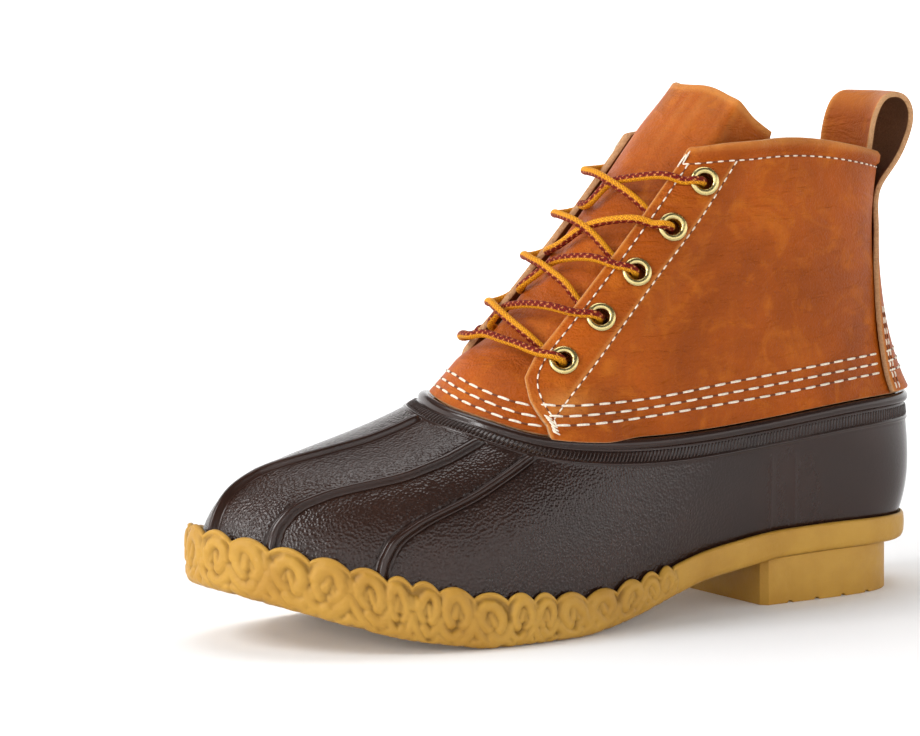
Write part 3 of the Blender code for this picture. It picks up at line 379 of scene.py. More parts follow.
def shaft_base(u, v):
    """The leather's outer face over the rubber's rim: v 0 at the rim, 1 at the collar, more above it."""
    u, v = np.broadcast_arrays(np.asarray(u, float), np.asarray(v, float))
    rim, collar = rim_point(u), collar_point(u)
    pull = flat(plan_normal(u)) * (LAST_AT["tuck"](u) * BALL_WIDTH / 100)[..., None]
    one, two = (rim + share * (collar - rim) - pull for share in (0.25, 0.62))
    inside = bezier((rim, one, two, collar), np.minimum(v, 1.0))
    return inside + 3 * (collar - two) * np.maximum(v - 1.0, 0.0)[..., None]


def normals_of(surface, u, v):
    step = 0.01
    u, v = np.broadcast_arrays(np.asarray(u, float), np.asarray(v, float))
    low = np.maximum(v - step, 0.0)
    round_foot = surface(u + step, v) - surface(u - step, v)
    normal = np.cross(surface(u, low + 2 * step) - surface(u, low), round_foot)
    return normal / np.linalg.norm(normal, axis=-1, keepdims=True)


def pushed(surface, u, v, out):
    """A point of surface moved outwards by out along its normal."""
    u, v = np.broadcast_arrays(np.asarray(u, float), np.asarray(v, float))
    return surface(u, v) + normals_of(surface, u, v) * np.asarray(out, float)[..., None]


def v_at_height(surface, u, height):
    fine = np.linspace(0.0, 1.0, 81)
    heights = surface(np.asarray(u, float)[:, None], fine[None, :])[..., 2]
    return np.array([np.interp(h, z, fine) for h, z in zip(np.broadcast_to(height, len(u)), heights)])


def v_from_end(surface, u, length, end):
    """Where a surface is the given length from its lower (0) or upper (1) end, along the wall."""
    fine = np.linspace(0.0, 1.0, 81)
    points = surface(np.asarray(u, float)[:, None], fine[None, :])
    steps = np.linalg.norm(np.diff(points, axis=1), axis=-1)
    run = np.concatenate([np.zeros((len(steps), 1)), np.cumsum(steps, 1)], 1)
    if end:
        return np.array([np.interp(r[-1] - length, r, fine) for r in run])
    return np.array([np.interp(length, r, fine) for r in run])


def throat_edge(v):
    return np.interp(v, THROAT_AT["v"], THROAT_AT["edge"])


def mirrored(u):
    """The place on the inner side across from a place on the outer side of the throat."""
    return 2 * THROAT_CENTRE - u


def overlap(u, v):
    """How much of the full step the quarters stand out over the tongue: 1 at the throat, 0 behind."""
    u, v = np.broadcast_arrays(np.asarray(u, float) % STATIONS, np.asarray(v, float))
    edge = throat_edge(v)
    here = shaft_base(u, v)
    away = np.linalg.norm(here - shaft_base(edge, v), axis=-1)
    away = np.minimum(away, np.linalg.norm(here - shaft_base(mirrored(edge), v), axis=-1))
    away = np.where((u > edge) & (u < mirrored(edge)), 0.0, away)
    return 1.0 - smooth_step((away - OVERLAP_FULL) / (OVERLAP_END - OVERLAP_FULL))


def facing_place(v):
    """The stitch line behind the eyelets, on the outer side."""
    vs, us = np.array(FACING).T
    return np.interp(v, vs, us)


def wander(u, v, seed=0.0):
    """A slow wave over the leather, from -1 to 1, so that no panel lies dead flat."""
    return (
        np.sin(2.3 * u + 5.1 * v + seed) * np.cos(9.0 * v - 1.1 * u + 2 * seed) * 0.6
        + np.sin(4.7 * u - 7.7 * v + 3 * seed) * 0.4
    )


# ---- Meshes ----
def srgb(text):
    """A hex colour as linear red, green, blue and alpha."""
    parts = [int(text[i:i + 2], 16) / 255 for i in (1, 3, 5)]
    return tuple(c / 12.92 if c <= 0.04045 else ((c + 0.055) / 1.055) ** 2.4 for c in parts) + (1.0,)


def grid_faces(rows, cols, wrap=False, first=0):
    """Quads between neighbouring points of a grid whose rows follow each other."""
    across = cols if wrap else cols - 1
    r, c = np.meshgrid(np.arange(rows - 1), np.arange(across), indexing="ij")
    d = (c + 1) % cols
    quads = np.stack([r * cols + c, r * cols + d, (r + 1) * cols + d, (r + 1) * cols + c], -1)
    return quads.reshape(-1, 4) + first


def placed(name, data):
    """A new object with this data, in the scene."""
    made = bpy.data.objects.new(name, data)
    bpy.context.scene.collection.objects.link(made)
    return made


def build(name, points, faces, look, marks=None):
    """A smooth mesh object at the origin, its faces turned outwards; marks are values for its points."""
    mesh = bpy.data.meshes.new(name)
    mesh.from_pydata(np.asarray(points, float).tolist(), [], [tuple(int(i) for i in f) for f in faces])
    work = bmesh.new()
    work.from_mesh(mesh)
    bmesh.ops.recalc_face_normals(work, faces=work.faces)
    work.to_mesh(mesh)
    work.free()
    for mark, values in (marks or {}).items():
        layer = mesh.attributes.new(mark, "FLOAT", "POINT")
        layer.data.foreach_set("value", np.asarray(values, np.float32))
    mesh.polygons.foreach_set("use_smooth", [True] * len(mesh.polygons))
    mesh.materials.append(look)
    return placed(name, mesh)


def dress(piece, slot, *nodes):
    """Sets a finished piece on the boot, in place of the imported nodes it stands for."""
    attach(piece, "root")
    if nodes:
        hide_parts(*nodes)
    return piece


def deselect():
    if bpy.context.object and bpy.context.object.mode != "OBJECT":
        bpy.ops.object.mode_set(mode="OBJECT")
    bpy.ops.object.select_all(action="DESELECT")


# Section of a cut edge: place across the thickness from -1 to 1, and how far out as a share of the thickness.
CUT_EDGE = ((0.82, 0.13), (0, 0.16), (-0.82, 0.13))
# Points farther than this from a hole's plane belong to another layer.
HOLE_REACH = 8 * MM


def wall(name, outer, inner, look, marks, holes=()):
    """A leather wall between two grids: its cut edge stands square with slightly rounded corners.

    marks gives a value for every outer point; the inner face gets flesh 1 and the cut edge raw 1.
    """
    rows, cols = outer.shape[:2]
    total = rows * cols
    mid, half = (outer + inner) / 2, (outer - inner) / 2
    border = [(0, c) for c in range(cols)] + [(r, cols - 1) for r in range(1, rows)]
    border += [(rows - 1, c) for c in range(cols - 2, -1, -1)] + [(r, 0) for r in range(rows - 2, 0, -1)]
    rr, cc = np.array(border).T
    inside = mid[np.clip(rr, 1, rows - 2), np.clip(cc, 1, cols - 2)]
    away = mid[rr, cc] - inside
    away /= np.linalg.norm(away, axis=1, keepdims=True)
    thick = np.linalg.norm(half[rr, cc], axis=1, keepdims=True) * 2
    rim = [mid[rr, cc] + half[rr, cc] * across + away * thick * out for across, out in CUT_EDGE]
    points = np.concatenate([outer.reshape(-1, 3), inner.reshape(-1, 3)] + rim)
    quads = grid_faces(rows, cols)
    keep = np.ones(len(quads), bool)
    centres = outer.reshape(-1, 3)[quads].mean(1)
    for centre, normal, radius in holes:
        away = centres - centre
        height = away @ normal
        flat_away = np.linalg.norm(away - height[:, None] * normal, axis=1)
        keep &= ~((flat_away < radius) & (np.abs(height) < HOLE_REACH))
    faces = list(quads[keep]) + list(quads[keep][:, ::-1] + total)
    kept = {(int(a), int(b)) for quad in quads[keep] for a, b in zip(quad, np.roll(quad, -1))}
    for quad in quads[~keep]:
        for a, b in zip(quad, np.roll(quad, -1)):
            if (int(b), int(a)) in kept:
                faces.append((a, b, b + total, a + total))
    on_hole, on_wall = np.zeros(2 * total, bool), np.zeros(2 * total, bool)
    for here, some in ((on_hole, quads[~keep]), (on_wall, quads[keep])):
        here[some] = here[some + total] = True
    for centre, normal, radius in holes:
        near = points[: 2 * total] - centre
        height = near @ normal
        plan = near - height[:, None] * normal
        far = np.linalg.norm(plan, axis=1)
        take = on_hole & (far < radius * 1.8) & (far > radius * 0.6) & (np.abs(height) < HOLE_REACH) & on_wall
        points[: 2 * total][take] += plan[take] * (radius / far[take] - 1)[:, None]
    lists = [rr * cols + cc] + [2 * total + k * len(rr) + np.arange(len(rr)) for k in range(3)]
    lists.append(total + rr * cols + cc)
    for one, two in zip(lists[:-1], lists[1:]):
        faces += list(np.stack([one, np.roll(one, -1), np.roll(two, -1), two], -1))
    used = np.zeros(len(points), bool)
    for face in faces:
        used[list(face)] = True
    renumber = np.cumsum(used) - 1
    faces = [tuple(renumber[list(face)]) for face in faces]
    values = {}
    for mark, given in marks.items():
        given = np.broadcast_to(given, (rows, cols))
        edge_values = given[rr, cc]
        values[mark] = np.concatenate([given.ravel(), given.ravel(), np.tile(edge_values, 3)])[used]
    flesh = np.concatenate([np.zeros(total), np.ones(total), np.zeros(3 * len(rr))])
    raw = np.concatenate([np.zeros(2 * total), np.ones(3 * len(rr))])
    values["flesh"], values["raw"] = flesh[used], raw[used]
    return build(name, points[used], faces, look, values)


# ---- Materials ----
def node(tree, kind, values=None, links=None, **settings):
    """A shader node with its settings, socket values and links."""
    made = tree.nodes.new(kind)
    for name, value in settings.items():
        setattr(made, name, value)
    for socket, value in (values or {}).items():
        made.inputs[socket].default_value = value
    for socket, source in (links or {}).items():
        tree.links.new(source, made.inputs[socket])
    return made


def blank(name, **sockets):
    """A material with only its shader, whose plain sockets are given."""
    made = bpy.data.materials.new(name)
    made.use_nodes = True
    shader = made.node_tree.nodes["Principled BSDF"]
    for socket, value in sockets.items():
        shader.inputs[socket.replace("_", " ")].default_value = value
    return made, made.node_tree, shader


def mixed(tree, factor, one, two):
    """Two colours mixed; each may be a socket or a colour."""
    made = node(tree, "ShaderNodeMix", data_type="RGBA")
    for socket, value in ((0, factor), (6, one), (7, two)):
        if isinstance(value, (int, float, tuple)):
            made.inputs[socket].default_value = value
        else:
            tree.links.new(value, made.inputs[socket])
    return made.outputs[2]


def ranged(tree, source, low, high, out_low=0.0, out_high=1.0):
    """A value moved from one range to another and held inside it."""
    made = node(tree, "ShaderNodeMapRange", {1: low, 2: high, 3: out_low, 4: out_high}, {0: source})
    return made.outputs[0]


def maths(tree, operation, one, two):
    made = node(tree, "ShaderNodeMath", operation=operation)
    for socket, value in ((0, one), (1, two)):
        if isinstance(value, (int, float)):
            made.inputs[socket].default_value = value
        else:
            tree.links.new(value, made.inputs[socket])
    return made.outputs[0]


def object_place(tree):
    """The place of a point in the boot's own frame, in metres."""
    return node(tree, "ShaderNodeTexCoord").outputs["Object"]


def mark_of(tree, name):
    """A value that the mesh carries at its points."""
    return node(tree, "ShaderNodeAttribute", attribute_name=name).outputs["Fac"]


def noise(tree, where, width_mm, detail=3.0, rough=0.5, warp=0.0):
    """Cloudy pattern whose patches are about width_mm across."""
    values = {"Scale": 1 / (width_mm * MM), "Detail": detail, "Roughness": rough, "Distortion": warp}
    return node(tree, "ShaderNodeTexNoise", values, {"Vector": where}).outputs["Fac"]


def cells(tree, where, width_mm, smoothness=0.5):
    """Rounded cells about width_mm across, low at their middles."""
    values = {"Scale": 1 / (width_mm * MM), "Smoothness": smoothness}
    made = node(tree, "ShaderNodeTexVoronoi", values, {"Vector": where}, feature="SMOOTH_F1")
    return made.outputs["Distance"]


def bumped(tree, shader, layers):
    """Bump layers, each a height socket and its depth in metres, on the shader's normal."""
    last = None
    for height, depth in layers:
        made = node(tree, "ShaderNodeBump", {"Strength": 1.0, "Distance": depth}, {"Height": height})
        if last is not None:
            tree.links.new(last, made.inputs["Normal"])
        last = made.outputs["Normal"]
    tree.links.new(last, shader.inputs["Normal"])


def stretched(tree, where, scale):
    return node(tree, "ShaderNodeMapping", {"Scale": scale}, {"Vector": where}).outputs["Vector"]


def leather_look(colours):
    """Oiled pull-up leather, drum dyed: uneven colour, pale where bent or cut, with a fine closed grain."""
    made, tree, shader = blank("pull_up_leather", IOR=1.45, Specular_IOR_Level=0.15)
    where = object_place(tree)
    cloud = noise(tree, where, 46, 4.0, 0.55, 0.6)
    base = mixed(tree, ranged(tree, cloud, 0.34, 0.66), tuple(colours.leather_dark), tuple(colours.leather))
    patch = noise(tree, where, 15, 5.0, 0.62, 1.2)
    base = mixed(tree, ranged(tree, patch, 0.50, 0.78, 0.0, 0.75), base, tuple(colours.leather_light))
    fibre = noise(tree, stretched(tree, where, (1.0, 1.0, 0.35)), 2.4, 4.0, 0.65)
    base = mixed(tree, ranged(tree, fibre, 0.40, 0.75, 0.0, 0.30), base, tuple(colours.leather_dark))
    worn = mark_of(tree, "worn")
    base = mixed(tree, maths(tree, "MULTIPLY", worn, 0.85), base, tuple(colours.leather_pale))
    grain = cells(tree, where, 0.9)
    pores = noise(tree, where, 0.55, 2.0, 0.6)
    suede = noise(tree, where, 0.7, 4.0, 0.7)
    flesh_colour = mixed(tree, suede, tuple(colours.flesh_dark), tuple(colours.flesh_light))
    raw_colour = mixed(tree, suede, tuple(colours.raw_dark), tuple(colours.raw_light))
    base = mixed(tree, mark_of(tree, "flesh"), base, flesh_colour)
    base = mixed(tree, mark_of(tree, "raw"), base, raw_colour)
    tree.links.new(base, shader.inputs["Base Color"])
    shine = ranged(tree, patch, 0.3, 0.8, 0.44, 0.60)
    bare = maths(tree, "MAXIMUM", mark_of(tree, "flesh"), mark_of(tree, "raw"))
    rough = maths(tree, "MAXIMUM", shine, bare)
    tree.links.new(rough, shader.inputs["Roughness"])
    crease = noise(tree, stretched(tree, where, (0.5, 0.5, 1.6)), 7, 3.0, 0.55, 1.5)
    bumped(tree, shader, [(crease, 0.0011), (grain, 0.00022), (pores, 0.00016)])
    return made


def shell_look(colours):
    """Compression-moulded rubber, dark brown: a leathery pebble on the vamp that fades to smooth behind."""
    made, tree, shader = blank("moulded_rubber_brown", IOR=1.5, Specular_IOR_Level=0.38)
    where = object_place(tree)
    cloud = noise(tree, where, 30, 3.0, 0.5)
    base = mixed(tree, ranged(tree, cloud, 0.3, 0.7), tuple(colours.shell_dark), tuple(colours.shell))
    tree.links.new(base, shader.inputs["Base Color"])
    pebble = cells(tree, stretched(tree, where, (1.0, 1.2, 1.0)), 1.05, 0.30)
    fine = noise(tree, where, 0.9, 3.0, 0.6)
    grained = mark_of(tree, "pebbled")
    tall = maths(tree, "MULTIPLY", pebble, grained)
    small = maths(tree, "MULTIPLY", fine, ranged(tree, grained, 0, 1, 0.35, 1.0))
    gloss = ranged(tree, grained, 0, 1, 0.20, 0.24)
    tree.links.new(gloss, shader.inputs["Roughness"])
    bumped(tree, shader, [(tall, 0.00026), (small, 0.00009)])
    return made


def sole_look(colours):
    """Tan moulded rubber, slightly dusty: matte on the crowns of the tread, with painted shade darkening its
    grooves.
    """
    made, tree, shader = blank("moulded_rubber_tan", IOR=1.5, Specular_IOR_Level=0.25)
    where = object_place(tree)
    cloud = noise(tree, where, 22, 4.0, 0.55)
    base = mixed(tree, ranged(tree, cloud, 0.35, 0.65), tuple(colours.sole_dark), tuple(colours.sole))
    # Painted shade: the groove mark darkens the tread's creases and hollows.
    groove = mark_of(tree, "groove")
    base = mixed(tree, ranged(tree, groove, 0.16, 0.60, 0.0, 0.62), base, tuple(colours.sole_groove_shade))
    tree.links.new(base, shader.inputs["Base Color"])
    tree.links.new(ranged(tree, noise(tree, where, 4, 3.0), 0.3, 0.7, 0.42, 0.56), shader.inputs["Roughness"])
    wide, fine = noise(tree, where, 2.2, 4.0, 0.6), noise(tree, where, 0.6, 2.0)
    bumped(tree, shader, [(wide, 0.00025), (fine, 0.00006)])
    return made


def brass_look(colours):
    """Stamped brass, lacquered: pale and bright with soft handling marks."""
    made, tree, shader = blank("lacquered_brass", Metallic=1.0)
    where = object_place(tree)
    base = mixed(tree, noise(tree, where, 2.0, 3.0), tuple(colours.brass_dark), tuple(colours.brass))
    tree.links.new(base, shader.inputs["Base Color"])
    handled = ranged(tree, noise(tree, where, 1.2, 3.0), 0.3, 0.7, 0.16, 0.30)
    tree.links.new(handled, shader.inputs["Roughness"])
    bumped(tree, shader, [(noise(tree, where, 1.4, 2.0), 0.00003)])
    return made


def lace_look(colours):
    """Braided polyester lace: gold on one half of its round and maroon with pale ticks on the other, with
    painted shade between the braid's strands.
    """
    made, tree, shader = blank("braided_polyester", IOR=1.5, Specular_IOR_Level=0.12)
    round_lace = mark_of(tree, "round_lace")
    strand = mark_of(tree, "strand")
    tick = mark_of(tree, "tick")
    # Painted shade: each half darkens between the crowns of its strands.
    gold = mixed(tree, strand, tuple(colours.lace_gold_shade), tuple(colours.lace_gold))
    maroon = mixed(tree, strand, tuple(colours.lace_maroon_shade), tuple(colours.lace_maroon))
    maroon = mixed(tree, tick, maroon, tuple(colours.lace_tick))
    base = mixed(tree, round_lace, gold, maroon)
    where = object_place(tree)
    tree.links.new(base, shader.inputs["Base Color"])
    shader.inputs["Roughness"].default_value = 0.62
    bumped(tree, shader, [(noise(tree, where, 0.35, 2.0), 0.00008)])
    return made


def thread_look(name, colour):
    """Waxed bonded thread, twisted: colour that varies a little in fine patches, with a fine bump. In a dark
    colour it also makes the pieces that paint the shade in the needle holes.
    """
    made, tree, shader = blank(name, IOR=1.5, Specular_IOR_Level=0.35)
    where = object_place(tree)
    dim = tuple(c * 0.78 for c in colour[:3]) + (1.0,)
    base = mixed(tree, ranged(tree, noise(tree, where, 0.8, 2.0), 0.35, 0.6), dim, tuple(colour))
    tree.links.new(base, shader.inputs["Base Color"])
    shader.inputs["Roughness"].default_value = 0.6
    bumped(tree, shader, [(noise(tree, where, 0.4, 2.0), 0.00008)])
    return made


def footbed_look(colours):
    """Woven cotton over foam, brown: a plain weave drawn at 1.2 mm so that it shows."""
    made, tree, shader = blank("woven_footbed", Roughness=0.9, Specular_IOR_Level=0.2)
    where = object_place(tree)
    weave = node(tree, "ShaderNodeTexChecker", {"Scale": 1 / (1.2 * MM)}, {"Vector": where})
    base = mixed(tree, weave.outputs["Fac"], tuple(colours.footbed), tuple(colours.footbed_light))
    tree.links.new(base, shader.inputs["Base Color"])
    bumped(tree, shader, [(weave.outputs["Fac"], 0.0002), (noise(tree, where, 1.0), 0.0002)])
    return made


LOOKS = {}


def look(name, maker, *given):
    if name not in LOOKS:
        LOOKS[name] = maker(*given)
    return LOOKS[name]


# ---- Settings ----
def length_setting(name, description, default):
    return bpy.props.FloatProperty(name=name, description=description, default=default, unit="LENGTH")


def colour_setting(name, description, hex_text):
    return bpy.props.FloatVectorProperty(
        name=name, description=description, default=srgb(hex_text), size=4, min=0.0, max=1.0, subtype="COLOR")


class BootSizes(bpy.types.PropertyGroup):
    seam_height: length_setting("Seam height", "How far the vamp's moulded seams stand out", 0.0022)
    rib_pitch: length_setting("Rib pitch", "Distance between the fine ribs under the rim", 0.0015)
    tread_depth: length_setting("Tread depth", "Depth of the chain relief on the sole", 0.0027)
    scallop_depth: length_setting("Scallop depth", "Height of the scallops along the sole's lip", 0.0030)
    rim_stitch: length_setting("Rim stitch", "Pitch of the large stitches over the rim", 0.0072)
    fine_stitch: length_setting("Fine stitch", "Pitch of the fine stitches", 0.0037)
    lace_radius: length_setting("Lace radius", "Radius of the round lace", 0.00155)


class BootColours(bpy.types.PropertyGroup):
    leather: colour_setting("Leather", "Main leather colour", "#a9500c")
    leather_dark: colour_setting("Leather, dark", "Oiled patches", "#8c4007")
    leather_light: colour_setting("Leather, light", "Lighter patches", "#c26c1a")
    leather_pale: colour_setting("Leather, pulled", "Where it is bent", "#d9964c")
    flesh_dark: colour_setting("Flesh side, dark", "Dark nap inside the boot", "#4a2d1c")
    flesh_light: colour_setting("Flesh side, light", "Light nap inside the boot", "#8d5f40")
    raw_dark: colour_setting("Cut edge, dark", "Dark fibres of a cut edge", "#8f6341")
    raw_light: colour_setting("Cut edge, light", "Light fibres of a cut edge", "#dcae80")
    shell: colour_setting("Shell", "Brown rubber", "#2d1a12")
    shell_dark: colour_setting("Shell, dark", "Darker brown rubber", "#24140e")
    sole: colour_setting("Sole", "Tan rubber", "#b98d3a")
    sole_dark: colour_setting("Sole, dark", "Darker tan rubber", "#aa7d2f")
    # Painted shade for the creases and hollows of the tread.
    sole_groove_shade: colour_setting("Sole grooves", "Tan rubber in the grooves of the tread", "#62430f")
    brass: colour_setting("Brass", "Eyelets", "#d6c68e")
    brass_dark: colour_setting("Brass, dark", "Handled brass", "#b8a468")
    lace_gold: colour_setting("Lace gold", "Crowns of the gold half", "#f6b022")
    # Painted shade between the strands of the gold half.
    lace_gold_shade: colour_setting("Lace gold, dark", "Between the gold strands", "#8a3c0a")
    lace_maroon: colour_setting("Lace maroon", "Crowns of the maroon half", "#8a1f10")
    # Painted shade between the strands of the maroon half.
    lace_maroon_shade: colour_setting("Lace maroon, dark", "Between the maroon strands", "#2e0605")
    lace_tick: colour_setting("Lace ticks", "Pale ticks in the maroon half", "#d98a4a")
    thread: colour_setting("Thread", "Cream thread", "#efe3cf")
    # Painted shade: the colour of the short dark pieces set in the gaps between stitches, in place of the
    # shade in the needle holes.
    hole: colour_setting("Needle holes", "Dark gaps between stitches", "#6e3614")
    footbed: colour_setting("Footbed", "Dark squares of the weave", "#5b4433")
    footbed_light: colour_setting("Footbed, light", "Light squares of the weave", "#7a5f48")


def sizes():
    return bpy.context.scene.boot_sizes


def colours():
    return bpy.context.scene.boot_colours


# ---- Rubber bottom ----
def feature_lines(v):
    """Places round the foot of the raised lines at height v: two mould lines, five seams, two mould lines."""
    v = float(np.clip(v, 0, 1))
    outer, inner, middle = (np.interp(v, SEAM_AT["v"], SEAM_AT[n]) for n in SEAM_COLUMNS[1:])
    vs, one, two = np.array(SIDE_LINES).T
    one, two = np.interp(v, vs, one), np.interp(v, vs, two)
    seams = [outer, inner, middle, 2 * TOE_LINE + 0.2 - inner, 2 * TOE_LINE + 0.2 - outer]
    return np.array([one, two] + seams + [STATIONS - two, STATIONS - one])


# Columns of the shell's mesh in mm from the middle of a seam or a mould line, and the number between lines.
SEAM_PLACES = (-3.4, -2.7, -2.2, -1.8, -1.4, -1.0, -0.6, 0.0, 0.6, 1.0, 1.4, 1.8, 2.2, 2.7, 3.4)
LINE_PLACES = (-1.2, -0.6, 0.0, 0.6, 1.2)
LINE_SECTION = (0, 0.6, 1, 0.6, 0)
LINE_HEIGHT = 0.16 * MM
BETWEEN = (3, 86, 34, 42, 42, 34, 86, 3)
BEHIND = 96
SEAM_LINES = range(2, 7)
SHELL_RINGS = 58
BAND_TOP = BEAD_HEIGHT + RIB_BAND_HEIGHT
# The rim from the rib band's foot to the bead's top: length below the rim, and mm out from the wall.
RIM_SECTION = (
    (BAND_TOP, 0.35), (BAND_TOP - 0.0003, 0.62), (BAND_TOP - 0.0009, 0.62), (BAND_TOP - 0.0012, 0.18),
    (BEAD_HEIGHT + 0.0018, 0.18), (BEAD_HEIGHT + 0.0010, 0.10), (BEAD_HEIGHT + 0.0004, -0.12),
    (BEAD_HEIGHT - 0.0001, 0.15), (BEAD_HEIGHT - 0.0005, 0.95), (BEAD_HEIGHT - 0.0012, 1.45),
    (BEAD_HEIGHT - 0.0021, 1.62), (BEAD_HEIGHT - 0.0030, 1.45), (BEAD_HEIGHT - 0.0037, 0.95), (0.0001, 0.32),
)
FLANGE_LEVELS = (0.0, 0.5, 1.0)
INSIDE_LEVELS = (0.85, 0.68, 0.5, 0.34, 0.18, 0.0)


def seam_rise(places):
    """Height of a seam's section as a share of its full height, with a shallow groove at each foot."""
    away = np.abs(np.array(places))
    ridge = 1 - smooth_step((away - 0.7) / 1.4)
    return ridge - 0.16 * np.exp(-((away - 2.5) / 0.45) ** 2)


def shell_columns(v):
    """Places round the foot of the shell's columns at height v, with the seams' and mould lines' heights."""
    lines = feature_lines(v)
    per = np.linalg.norm(rubber_base(lines + 0.05, v) - rubber_base(lines, v), axis=1) / 0.05
    places, seam, line = [], [], []

    def add(more, seams=None, marks=None):
        places.extend(more)
        seam.extend([0.0] * len(more) if seams is None else seams)
        line.extend([0.0] * len(more) if marks is None else marks)

    for i, (at, scale) in enumerate(zip(lines, per)):
        is_seam = i in SEAM_LINES
        offsets = SEAM_PLACES if is_seam else LINE_PLACES
        here = at + np.array(offsets) * MM / scale
        if i:
            add(np.linspace(places[-1], here[0], BETWEEN[i - 1] + 2)[1:-1])
        add(here, seam_rise(offsets) if is_seam else None, None if is_seam else LINE_SECTION)
    add(np.linspace(places[-1], places[0] + STATIONS, BEHIND + 2)[1:-1])
    return np.array(places), np.array(seam), np.array(line)


class RubberBottom(bpy.types.Operator):
    """Moulded rubber bottom: rim bead, recessed rib band, five vamp seams and its smooth inside"""
    bl_idname = "boot.rubber_bottom"
    bl_label = "Rubber bottom"

    def execute(self, context):
        height = sizes().seam_height
        fine = np.linspace(0.0, 1.0, 25)
        table = np.array([shell_columns(v)[0] for v in fine])
        seam, line = shell_columns(0.5)[1:]
        count = table.shape[1]

        def columns_at(v):
            v = np.broadcast_to(np.asarray(v, float), (count,))
            return np.array([np.interp(v[c], fine, table[:, c]) for c in range(count)])

        def settle(v_of):
            u = columns_at(0.5)
            for _ in range(4):
                u = columns_at(v_of(u))
            return u, v_of(u)

        def over_band(lift):
            def v_of(u):
                x = outline(u)[:, 0]
                return v_at_height(rubber_base, u, underside(x) + band_height(x) + lift)
            return settle(v_of)

        def below_rim(length):
            return settle(lambda u: v_from_end(rubber_base, u, length, 1))

        rings, pebbled = [], []

        def add(points, grain):
            rings.append(points)
            pebbled.append(grain)

        def grain_at(points):
            return smooth_step((points[:, 0] - 0.035) / 0.055) * 0.92 + 0.08

        nothing = np.zeros(count)
        v_band = over_band(-0.004)[1]
        for share in (0.0, 0.6):
            add(rubber_base(columns_at(v_band * share), v_band * share), nothing)
        v_high = below_rim(BAND_TOP + 0.0006)[1]
        for share in np.linspace(0.0, 1.0, SHELL_RINGS):
            v = v_band + share * (v_high - v_band)
            u = columns_at(v)
            rise = seam * height * smooth_step((1.02 - share) / 0.03)
            rise = rise + line * LINE_HEIGHT * smooth_step((0.97 - share) / 0.1)
            points = pushed(rubber_base, u, v, rise)
            add(points, grain_at(points) * (1 - smooth_step(np.abs(seam) / 0.12)))
        for length, out in RIM_SECTION:
            u, v = below_rim(length)
            add(pushed(rubber_base, u, v, out * MM + nothing), nothing)
        u = columns_at(1.0)
        inward = LEATHER_WALL + FLANGE_GAP
        tall = v_from_end(shaft_base, u, FLANGE_HEIGHT, 0)
        for out, levels in ((-inward, FLANGE_LEVELS), (-inward - FLANGE_WALL, FLANGE_LEVELS[::-1])):
            for level in levels:
                add(pushed(shaft_base, u, tall * level, out + nothing), nothing)
        for level in INSIDE_LEVELS:
            add(pushed(rubber_base, columns_at(level), level, -RUBBER_WALL + nothing), nothing)
        rows = len(rings)
        faces = list(grid_faces(rows, count, wrap=True))
        last = (rows - 1) * count
        faces += [(last + i, last + (i + 1) % count, (i + 1) % count, i) for i in range(count)]
        made = build("rubber_bottom", np.concatenate(rings), faces, look("shell", shell_look, colours()),
                     {"pebbled": np.concatenate(pebbled)})
        dress(made, "shell_rubber", "rubber_shell")
        return {"FINISHED"}


# One rib: half width, height, foot and root in metres; its section as half widths and shares of its height.
RIB_HALF, RIB_HEIGHT, RIB_FOOT, RIB_ROOT = 0.36 * MM, 0.48 * MM, 0.10 * MM, 0.15 * MM
RIB_SECTION = ((-1.15, 0.0), (-0.75, 0.8), (0.0, 1.0), (0.75, 0.8), (1.15, 0.0))


class RimRibs(bpy.types.Operator):
    """Fine upright ribs in the band under the rim bead"""
    bl_idname = "boot.rim_ribs"
    bl_label = "Rim ribs"

    def execute(self, context):
        fine = np.linspace(0.0, STATIONS, 3000)
        rim = rim_point(fine)
        run = run_along(rim)
        count = int(run[-1] / sizes().rib_pitch)
        middles = np.interp(np.arange(count) * run[-1] / count, run, fine)
        lengths = (BEAD_HEIGHT + 0.0008, BEAD_HEIGHT + 0.0014, BAND_TOP - 0.0020, BAND_TOP - 0.0012)
        per = np.interp(middles, fine, np.gradient(run, fine))
        half = RIB_HALF / per
        points = []
        for length, tall in zip(lengths, (0.10, 1.0, 1.0, 0.10)):
            v = v_from_end(rubber_base, middles, length, 1)
            for side, share in RIB_SECTION:
                out = RIB_FOOT + RIB_HEIGHT * tall * share
                points.append(pushed(rubber_base, middles + half * side, v, out + 0 * v))
            for side, _ in (RIB_SECTION[-1], RIB_SECTION[0]):
                points.append(pushed(rubber_base, middles + half * side, v, -RIB_ROOT + 0 * v))
        points = np.array(points).transpose(1, 0, 2)
        ring = len(RIB_SECTION) + 2
        shape = [tuple(face) for face in grid_faces(len(lengths), ring, wrap=True)]
        shape += [tuple(range(ring)), tuple(range(3 * ring, 4 * ring))]
        size = len(lengths) * ring
        everything = [tuple(i * size + k for k in face) for i in range(count) for face in shape]
        made = build("rim_ribs", points.reshape(-1, 3), everything, look("shell", shell_look, colours()),
                     {"pebbled": np.zeros(count * size)})
        dress(made, "shell_rubber")
        return {"FINISHED"}


# ---- Sole ----
# The forefoot's chain runs between these places round the foot; its middle scallop is at the tip.
CHAIN_FROM, CHAIN_TO, CHAIN_TIP = 3.72, 14.12, 9.05
SIDE_COLUMNS, FRONT_COLUMNS = 74, 400


